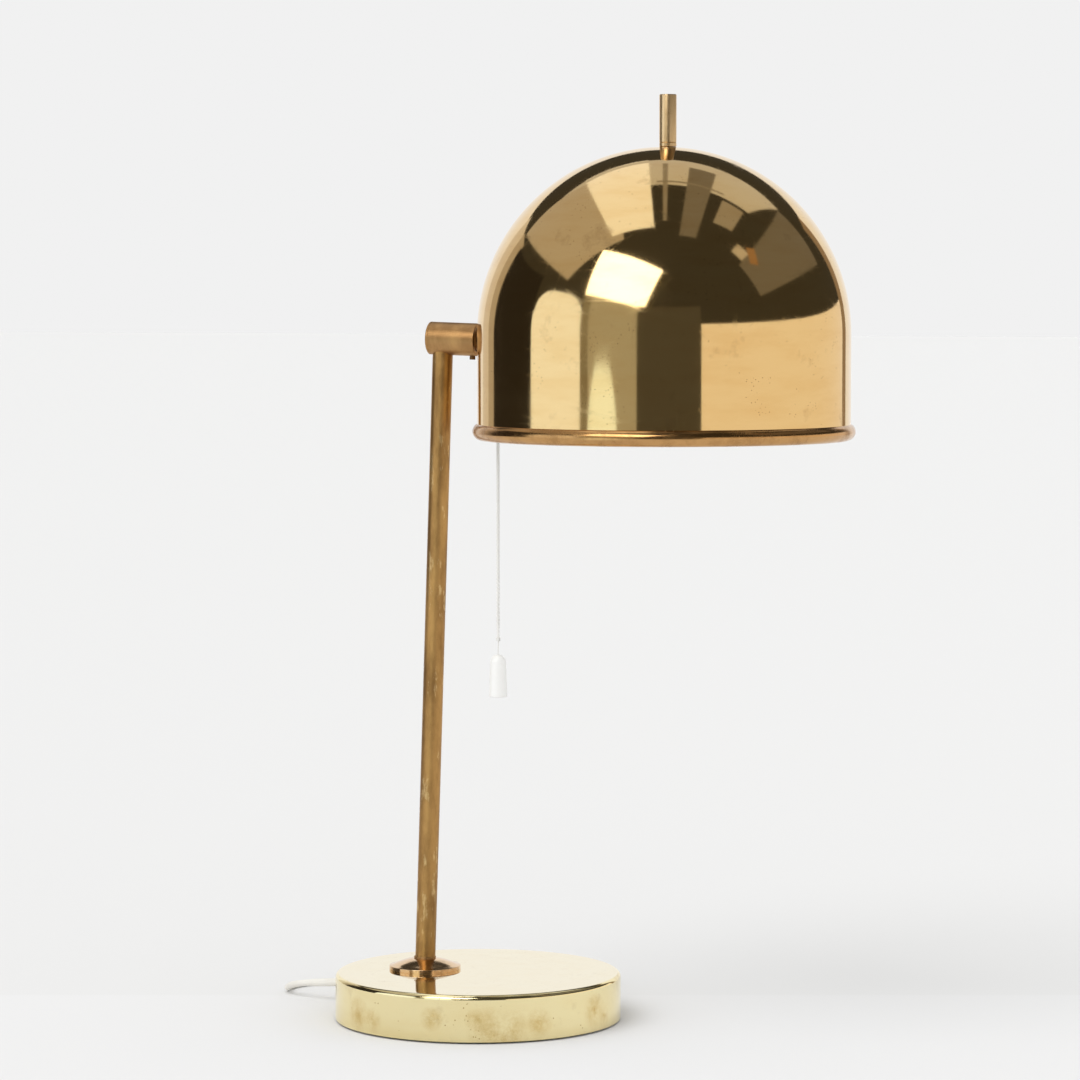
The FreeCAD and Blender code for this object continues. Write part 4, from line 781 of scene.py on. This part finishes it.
def makeBarrel():
    size = barrelSizes
    radius, bore, front, lip = size["radius"], size["bore"], size["front"], size["lip"]
    edge, rounding, chamfer, facets = size["edge"], size["frontRound"], size["chamfer"], size["facets"]
    start = size["cap"] - size["back"]
    corners = [(bore, start), (radius - edge, start), (radius, start + edge), (radius, 0),
               (radius, front - rounding)]
    corners += arcCorners((radius - rounding, front - rounding), rounding, 20, 90, 4)
    corners += [(lip + chamfer, front), (lip, front - chamfer), (lip, front - size["lipEnd"]),
                (bore, front - size["boreStart"])]
    mesh = latheMesh("jointBarrel", corners, lying(pivotPoint, barrelOut), facets)
    barrel = finishMesh("jointBarrel", mesh, [brassBarrel], "stand")
    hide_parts("joint_barrel")
    bulge, spigot = size["bulge"], size["spigot"]
    domeRadius = (radius ** 2 + bulge ** 2) / 2 / bulge
    capEnd = bulge + size["cap"]
    corners = [(0, 0)]
    for step in range(1, 15):
        out = (radius - size["capInset"]) * step / 14
        corners.append((out, domeRadius - math.sqrt(domeRadius ** 2 - out ** 2)))
    corners += [(radius - edge, bulge + size["capShadow"]), (radius, bulge + size["capShoulder"]),
                (radius, capEnd - size["capEdge"]), (radius - size["capEdge"], capEnd), (spigot, capEnd),
                (spigot, capEnd + size["spigotLength"]), (0, capEnd + size["spigotLength"])]
    place = lying(pivotPoint - barrelOut * (size["back"] + bulge), barrelOut)
    mesh = latheMesh("barrelEndCap", corners, place, facets)
    endCap = finishMesh("barrelEndCap", mesh, [brassBarrel], "stand", 20)
    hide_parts("barrel_end_cap")


# bulb: a straight neck in the cap, a shoulder that swells, and a round globe
bulbSizes = {
    "wall": 7.134,
    "seat": 59.5,
    "height": 428.0,
    "neck": 13.0,
    "footIn": 0.8,
    "straight": 5.0,
    "shoulderStart": 9.0,
    "shoulderTurn": 28.5,
    "globe": 30.0,
    "globeMiddle": 48.0,
    "glass": 0.7,
    "facets": 96,
}


def makeBulb():
    size = bulbSizes
    neck, globe, middle, glass = size["neck"], size["globe"], size["globeMiddle"], size["glass"]
    footIn, start = size["footIn"], size["shoulderStart"]
    corners = [(0, 0), (neck - footIn, 0), (neck, footIn), (neck, size["straight"])]
    shoulder = math.radians(size["shoulderTurn"])
    last = (globe * math.cos(shoulder), middle - globe * math.sin(shoulder))
    for step in range(1, 13):
        share = step / 12
        ease = share * share * (3 - 2 * share)
        swell = 0.5 * share + 0.5 * ease
        corners.append((neck + (last[0] - neck) * swell, start + (last[1] - start) * share))
    corners += arcCorners((0, middle), globe, -26, 90, 40)[:-1]
    corners += [(0, middle + globe), (0, middle + globe - glass)]
    corners += arcCorners((0, middle), globe - glass, 88, -28, 24)
    corners += [(neck - glass, start), (neck - glass, glass), (0, glass)]
    place = lying((size["wall"] + size["seat"], 0, size["height"]), (1, 0, 0))
    mesh = latheMesh("bulbOpal", corners, place, size["facets"])
    bulb = finishMesh("bulbOpal", mesh, [opalGlass], "head")
    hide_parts("bulb_glass")


makeShade()
makeFinial()
makeBase()
makeFoot()
makeStem()
makeBarrel()
makeBulb()
print("turned pieces made")


# mains lead: out of its sleeve, down to the desk, round into a tied coil behind the base
leadSizes = {
    "thick": 4.2,
    "length": 1.6995,
    "start": [(-124.97, 31.15, 10.62), (-140.41, 35.00, 8.95), (-151.27, 47.15, 2.73), (-153.37, 63.65, 2.4),
              (-145.37, 78.45, 2.4), (-125.57, 87.85, 2.4), (-89.68, 76.17, 3.0), (-70.89, 83.01, 3.0)],
    "end": [(-62.99, 85.89, 7.65), (-51.71, 89.99, 7.65), (-38.97, 95.91, 5.85), (-26.84, 103.52, 6.9),
            (-18.47, 109.76, 6.9)],
    "coilCentre": (-79.57, 119.15),
    "coilTurn": 20.0,
    "turns": 9,
    "inner": 16.0,
    "pitch": 4.65,
    "floor": 3.0,
    "stepsPerTurn": 16,
}


def coilRoute():
    size = leadSizes
    steps = size["turns"] * size["stepsPerTurn"]
    half = size["turns"] / 2
    bow = math.cos(math.pi / size["stepsPerTurn"])
    centreX, centreY = size["coilCentre"]
    out = []
    for step in range(steps + 1):
        turns = step / size["stepsPerTurn"]
        angle = math.radians(360 * turns - 90 + size["coilTurn"])
        radius = size["inner"] + size["pitch"] * abs(turns - half)
        climb = min(1, max(0, (turns - half) / 0.5 + 0.5))
        climb = climb * climb * (3 - 2 * climb)
        reach = radius if step in (0, steps) else radius / bow
        out.append((centreX + reach * math.cos(angle), centreY + reach * math.sin(angle),
                    size["floor"] + size["pitch"] * climb))
    return out


def nurbsPiece(name, points, radius, material):
    curve = bpy.data.curves.new(name, "CURVE")
    curve.dimensions = "3D"
    spline = curve.splines.new("NURBS")
    spline.points.add(len(points) - 1)
    for point, place in zip(spline.points, points):
        point.co = (*[value * mm for value in place], 1)
    spline.use_endpoint_u = True
    spline.order_u = 3
    curve.resolution_u = 8
    curve.bevel_depth = radius * mm
    curve.bevel_resolution = 5
    curve.use_fill_caps = True
    curve.materials.append(material)
    return addObject(name, curve)


leadRoute = leadSizes["start"] + coilRoute() + leadSizes["end"]
mainsLead = nurbsPiece("mainsLead", leadRoute, leadSizes["thick"] / 2, leadWhite)
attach(mainsLead, "stand")
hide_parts("mains_cord", "cord_coil", "cord_tail")
print("mains lead laid")


# pull cord: two strands twisted, a knot at each end, a bare thread into the knob
pullSizes = {
    "x": 18.635,
    "y": -14.0,
    "top": 393.45,
    "twistEnd": 241.5,
    "threadEnd": 214.0,
    "thick": 2.3,
    "declared": 2.0,
    "pitch": 4.8,
    "stepsPerTwist": 14,
    "gather": 12,
    "gathered": 0.2,
    "strand": 0.62,
    "thread": 0.42,
    "threadWave": 0.12,
    "loop": 1.7,
    "loopStrand": 0.45,
    "knot": 0.95,
    "knotStrand": 0.55,
    "knotHalf": 0.9,
    "knotLift": 0.6,
}


def strandMesh(work, points, radius, sides=8):
    previous = None
    for index, place in enumerate(points):
        onward = points[min(index + 1, len(points) - 1)] - points[max(index - 1, 0)]
        onward.normalize()
        side = onward.cross(Vector((0, 1, 0)) if abs(onward.y) < 0.9 else Vector((1, 0, 0))).normalized()
        other = onward.cross(side)
        ring = [work.verts.new(place + (side * math.cos(angle) + other * math.sin(angle)) * radius)
                for angle in (2 * math.pi * step / sides for step in range(sides))]
        if previous:
            joinRings(work, previous, ring)
        else:
            work.faces.new(ring[::-1])
        previous = ring
    work.faces.new(previous)


def strandPiece(name, work):
    piece = finishMesh(name, closeMesh(name, work), [yarnWhite], "hanging_cord", 60)
    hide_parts("pull_cord")
    return piece


def makePullCord():
    size = pullSizes
    x, y, top, twistEnd = size["x"], size["y"], size["top"], size["twistEnd"]
    work = bmesh.new()
    count = int((top - twistEnd) / size["pitch"] * size["stepsPerTwist"])
    offset = size["thick"] / 2 - size["strand"]
    for strand in (0, 1):
        points = []
        for index in range(count + 1):
            share = index / count
            angle = 2 * math.pi * (index / size["stepsPerTwist"]) + math.pi * strand
            spread = min(1, size["gather"] * share, size["gather"] * (1 - share) + size["gathered"])
            out = offset * spread
            points.append(Vector((x + out * math.cos(angle), y + out * math.sin(angle),
                                  top + (twistEnd - top) * share)) * mm)
        strandMesh(work, points, size["strand"] * mm, 10)
    return strandPiece("pullCord", work)


# the bare thread, the loop through the link, and the knots wound over themselves
def makePullKnots():
    size = pullSizes
    x, y, top, twistEnd = size["x"], size["y"], size["top"], size["twistEnd"]
    wave, loop, knot, half = size["threadWave"], size["loop"], size["knot"], size["knotHalf"]
    work = bmesh.new()
    thread = [Vector((x + wave * math.sin(step), y + wave * math.cos(1.7 * step),
                      twistEnd + 1 + (size["threadEnd"] - twistEnd - 1) * step / 12)) * mm
              for step in range(13)]
    strandMesh(work, thread, size["thread"] * mm)
    turn = [2 * math.pi * step / 32 for step in range(33)]
    closed = [Vector((x + loop * math.sin(angle), y, top + loop - loop * math.cos(angle))) * mm
              for angle in turn]
    strandMesh(work, closed, size["loopStrand"] * mm)
    for level, turns in ((top, 3), (twistEnd + size["knotLift"], 2)):
        steps = turns * 16
        wound = []
        for step in range(steps + 1):
            angle = 2 * math.pi * step / 16
            wound.append(Vector((x + knot * math.cos(angle), y + knot * math.sin(angle),
                                 level + half - 2 * half * step / steps)) * mm)
        strandMesh(work, wound, size["knotStrand"] * mm)
    return strandPiece("pullCordKnots", work)


# knob: white bell with a round crown, hollow from below
knobSizes = {
    "top": 232.4,
    "length": 26.5,
    "foot": 5.6,
    "footRound": 0.35,
    "footBand": 1.0,
    "crown": 5.0,
    "crownDip": 0.05,
    "hollow": 3.6,
    "mouthRound": 0.2,
    "deep": 8.0,
    "bore": 0.65,
    "facets": 96,
}


def makeKnob():
    size = knobSizes
    foot, band, crown, length = size["foot"], size["footBand"], size["crown"], size["length"]
    hollow, mouth, middle = size["hollow"], size["mouthRound"], length - crown
    corners = [(hollow + mouth, 0), (foot - size["footRound"], 0), (foot, size["footRound"]), (foot, band)]
    corners += [(foot + (crown - foot) * step / 8, band + (middle - band) * step / 8) for step in range(1, 8)]
    corners += arcCorners((0, middle), crown, 0, 82, 18)
    corners += [(size["bore"], length - size["crownDip"]), (size["bore"], size["deep"]),
                (hollow, size["deep"]), (hollow, mouth)]
    place = upright(pullSizes["x"], pullSizes["y"], size["top"] - length)
    mesh = latheMesh("pullKnob", corners, place, size["facets"])
    knob = finishMesh("pullKnob", mesh, [whitePlastic], "hanging_cord")
    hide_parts("pull_knob")
    return knob


pullCord = makePullCord()
pullKnots = makePullKnots()
pullKnob = makeKnob()
print("pull cord made")


# CAD nodes that keep their shape
finishes = {
    # the ball and set screw wear the darker copy of the aged brass, painted shade
    brassBallPaintedShade: ["joint_ball", "joint_set_screw"],
    plainBrass: ["disc_spring", "friction_cup", "retaining_ring", "stem_nipple", "shade_nut",
                 "shade_washer", "finial_washer", "finial_screw", "lampholder_cap", "lampholder_sleeve",
                 "switch_nozzle", "thread_shell", "centre_contact", "terminal_screws", "pull_slider",
                 "cord_link", "foot_washer", "foot_nut"],
    steelZinc: ["base_plate", "plate_screws", "cord_clamp", "clamp_screws", "plug_pins"],
    castIron: ["base_weight"],
    feltGreen: ["felt_pad"],
    porcelain: ["holder_insert"],
    darkResin: ["switch_block"],
    nickel: ["bulb_cap"],
    leadWhite: ["stem_lead", "head_lead", "cord_sleeve"],
    whitePlastic: ["plug_body"],
    nylonWhite: ["coil_tie"],
}
for material, members in finishes.items():
    for member in members:
        mesh = nodes[member].data
        if not mesh.materials:
            mesh.materials.append(material)
        for index in range(len(mesh.materials)):
            mesh.materials[index] = material
print("finishes put on the solids")


# studio: floor, pale backdrop, and cards that only reflections see
studio = {
    "towardCamera": Vector((0.3023, -0.9532, 0.0)),
    "right": Vector((0.9532, 0.3023, 0.0)),
    "centre": Vector((0.1221, 0.0, 0.43)),
    "cardFoot": -0.2,
    "backdrop": (0.879, 0.879, 0.879),
    "surround": 0.055,
    "surroundTone": (0.95, 0.88, 0.70),
    "daylight": 0.92,
    "daylightTone": (0.985, 0.985, 0.98),
}


# a direction in the room: degrees round from the camera's side, positive to its right, and degrees up
def roomDirection(azimuth, elevation=0.0):
    angle, rise = math.radians(azimuth), math.radians(elevation)
    flat = studio["towardCamera"] * math.cos(angle) + studio["right"] * math.sin(angle)
    return flat * math.cos(rise) + Vector((0, 0, math.sin(rise)))


def stagePiece(name, mesh, material, onlyGloss=False):
    mesh.materials.append(material)
    piece = addObject(name, mesh)
    if onlyGloss:
        piece.visible_camera = False
        piece.visible_diffuse = False
        piece.visible_shadow = False
        piece.visible_transmission = False
    return piece


def stageMaterial(name):
    material = bpy.data.materials.new(name)
    material.use_nodes = True
    material.node_tree.nodes.clear()
    return material, material.node_tree


def glowMaterial(name, colour, strength):
    material, tree = stageMaterial(name)
    glow = addNode(tree, "ShaderNodeEmission", {"Color": (*colour, 1), "Strength": strength})
    addNode(tree, "ShaderNodeOutputMaterial", {"Surface": glow.outputs[0]})
    return material


# a flat card through four corners
def flatCard(name, corners, colour, strength):
    mesh = bpy.data.meshes.new(name)
    mesh.from_pydata([tuple(corner) for corner in corners], [], [(0, 1, 2, 3)])
    return stagePiece(name, mesh, glowMaterial(name, colour, strength), True)


# a curved card round the lamp, between two azimuths and up to a height in metres; corner rounds its top
def wallCard(name, first, last, high, distance, colour, strength, corner=0.0):
    mesh = bpy.data.meshes.new(name)
    work = bmesh.new()
    steps = max(6, int(abs(last - first) / 2))
    columns = []
    for index in range(steps + 1):
        share = index / steps
        foot = studio["centre"] + roomDirection(first + (last - first) * share) * distance
        side = min(share, 1 - share) * abs(last - first)
        top = high
        if side < corner:
            rest = corner - side
            drop = corner - math.sqrt(max(corner * corner - rest * rest, 0))
            top = high - drop * math.radians(1) * distance
        columns.append([work.verts.new((foot.x, foot.y, level)) for level in (studio["cardFoot"], top)])
    for before, after in zip(columns, columns[1:]):
        work.faces.new((before[0], after[0], after[1], before[1]))
    work.to_mesh(mesh)
    work.free()
    return stagePiece(name, mesh, glowMaterial(name, colour, strength), True)


# a flat card up in the room, seen from the shade at that azimuth and elevation
def skyCard(name, azimuth, elevation, wide, tall, turn, distance, colour, strength):
    out = roomDirection(azimuth, elevation)
    across = Vector((0, 0, 1)).cross(out).normalized()
    up = out.cross(across)
    spin = Matrix.Rotation(math.radians(turn), 3, out)
    across, up = spin @ across, spin @ up
    middle = studio["centre"] + out * distance
    halfWide = across * math.tan(math.radians(wide / 2)) * distance
    halfTall = up * math.tan(math.radians(tall / 2)) * distance
    corners = (middle - halfWide - halfTall, middle + halfWide - halfTall,
               middle + halfWide + halfTall, middle - halfWide + halfTall)
    return flatCard(name, corners, colour, strength)


# a level card overhead: metres to the camera's right and towards it, seen from over the shade
def ceilingCard(name, left, right, back, front, height, colour, strength):
    middle = studio["centre"] + Vector((0, 0, height))
    corners = [middle + studio["right"] * across + studio["towardCamera"] * toward
               for across, toward in ((left, back), (right, back), (right, front), (left, front))]
    return flatCard(name, corners, colour, strength)


white = (1.0, 0.99, 0.97)
warm = (1.0, 0.93, 0.84)
wallCard("cardBackdrop", 144, 236, 1.9, 3.2, white, 0.95)
wallCard("cardEdgeLeft", 214, 225, 1.9, 3.0, (1.0, 0.94, 0.86), 0.72)
wallCard("cardEdgeLeftDim", 225, 235, 1.9, 2.9, (1.0, 0.90, 0.76), 0.48)
wallCard("cardDarkLeft", -126, -87, 1.5, 2.2, (1.0, 0.86, 0.7), 0.028)
wallCard("cardDarkGap", -51, -46, 1.5, 2.3, (1.0, 0.92, 0.7), 0.26)
wallCard("cardDarkFront", -16, 22, 1.1, 2.2, (1.0, 0.93, 0.75), 0.085)
wallCard("cardDarkRight", 139, 146, 1.5, 2.2, (1.0, 0.75, 0.5), 0.30)
wallCard("cardLeftPanel", -87, -50, 1.45, 2.6, (0.87, 0.93, 1.0), 1.25, corner=14)
wallCard("cardFrontLeft", -47, -16, 2.4, 3.0, (0.95, 0.93, 0.80), 0.46)
wallCard("cardSmallPanel", -46, -25, 0.40, 0.9, (0.84, 0.97, 1.0), 1.35, corner=8)
wallCard("cardRightPanel", 22, 140, 0.78, 2.9, warm, 0.95)
skyCard("cardSoftbox", -28, 33, 38, 27, -12, 2.2, white, 3.4)
ceilingCard("cardStrip", -1.15, -0.2, -2.1, 0.9, 2.2, (0.95, 0.97, 1.0), 1.15)
ceilingCard("cardRod", -0.02, 0.05, -1.7, 0.7, 2.2, warm, 0.30)
ceilingCard("cardCrossRod", -0.1, 0.9, -0.62, -0.56, 2.1, warm, 0.26)
skyCard("cardLamp", 62, 44, 7, 7, 20, 2.0, warm, 0.55)
skyCard("cardLampHood", 70, 40, 5, 9, -25, 2.0, (1.0, 0.6, 0.3), 0.35)
ceilingCard("cardBeam", 0.35, 0.75, -1.6, 1.2, 2.3, warm, 0.20)
ceilingCard("cardHatch", 1.0, 1.5, -0.4, 0.5, 2.3, warm, 0.34)
skyCard("cardCeilingLeft", -100, 52, 60, 40, 0, 2.6, warm, 0.5)
skyCard("cardCeilingRight", 95, 34, 60, 22, 0, 2.6, warm, 0.18)
skyCard("cardCeilingBack", 180, 62, 70, 30, 0, 2.8, white, 0.6)


floorSizes = {
    "span": 60.0,
    # the edge between the two tones lies across the camera's view
    "turn": -19.3,
    "deskEdge": 0.085,
    "edgeSharpness": 160.0,
    "desk": (0.806, 0.806, 0.808),
    "beyond": (0.789, 0.789, 0.788),
    "matt": 0.4,
    "grainScale": 300.0,
    "grain": 0.03,
    "grainDepth": 0.2,
}


def makeFloor():
    size = floorSizes
    material, tree = stageMaterial("floorPale")
    place = tree.nodes.new("ShaderNodeTexCoord").outputs["Object"]
    turned = addNode(tree, "ShaderNodeMapping", {"Vector": place,
                                                 "Rotation": (0, 0, math.radians(size["turn"]))})
    split = addNode(tree, "ShaderNodeSeparateXYZ", {0: turned.outputs[0]})
    step = addMath(tree, "MULTIPLY_ADD", addMath(tree, "SUBTRACT", split.outputs[1], size["deskEdge"]),
                   size["edgeSharpness"], 0.5, clamp=True)
    matt = addNode(tree, "ShaderNodeBsdfDiffuse", {
        "Color": addMix(tree, step, size["desk"], size["beyond"]), "Roughness": size["matt"]})
    addBump(tree, matt, addNoise(tree, place, size["grainScale"]), size["grain"], size["grainDepth"] * mm)
    addNode(tree, "ShaderNodeOutputMaterial", {"Surface": matt.outputs[0]})
    mesh = bpy.data.meshes.new("floor")
    half = size["span"] / 2
    corners = [(-half, -half, 0), (half, -half, 0), (half, half, 0), (-half, half, 0)]
    mesh.from_pydata(corners, [], [(0, 1, 2, 3)])
    stagePiece("floor", mesh, material)


makeFloor()


# the world is pale to the camera and as daylight, and dim in reflections
def makeWorld():
    world = bpy.data.worlds.new("studioWorld")
    bpy.context.scene.world = world
    world.use_nodes = True
    tree = world.node_tree
    tree.nodes.clear()
    paths = tree.nodes.new("ShaderNodeLightPath")
    soft, dim, seen = [
        addNode(tree, "ShaderNodeBackground", {"Color": (*tone, 1), "Strength": strength})
        for tone, strength in ((studio["daylightTone"], studio["daylight"]),
                               (studio["surroundTone"], studio["surround"]), (studio["backdrop"], 1.0))]
    both = addNode(tree, "ShaderNodeMixShader", {
        0: paths.outputs["Is Glossy Ray"], 1: soft.outputs[0], 2: dim.outputs[0]})
    direct = addNode(tree, "ShaderNodeMixShader", {
        0: paths.outputs["Is Camera Ray"], 1: both.outputs[0], 2: seen.outputs[0]})
    addNode(tree, "ShaderNodeOutputWorld", {"Surface": direct.outputs[0]})


makeWorld()


def softSun(name, azimuth, elevation, spread, strength):
    out = roomDirection(azimuth, elevation)
    data = bpy.data.lights.new(name, "SUN")
    data.angle = math.radians(spread)
    data.energy = strength
    light = addObject(name, data)
    light.location = studio["centre"] + out * 2
    light.rotation_euler = (-out).to_track_quat("-Z", "Y").to_euler()
    light.visible_glossy = False


softSun("lightKey", -40, 52, 42, 0.8)
print("studio made")

bpy.context.scene.view_settings.view_transform = "Standard"
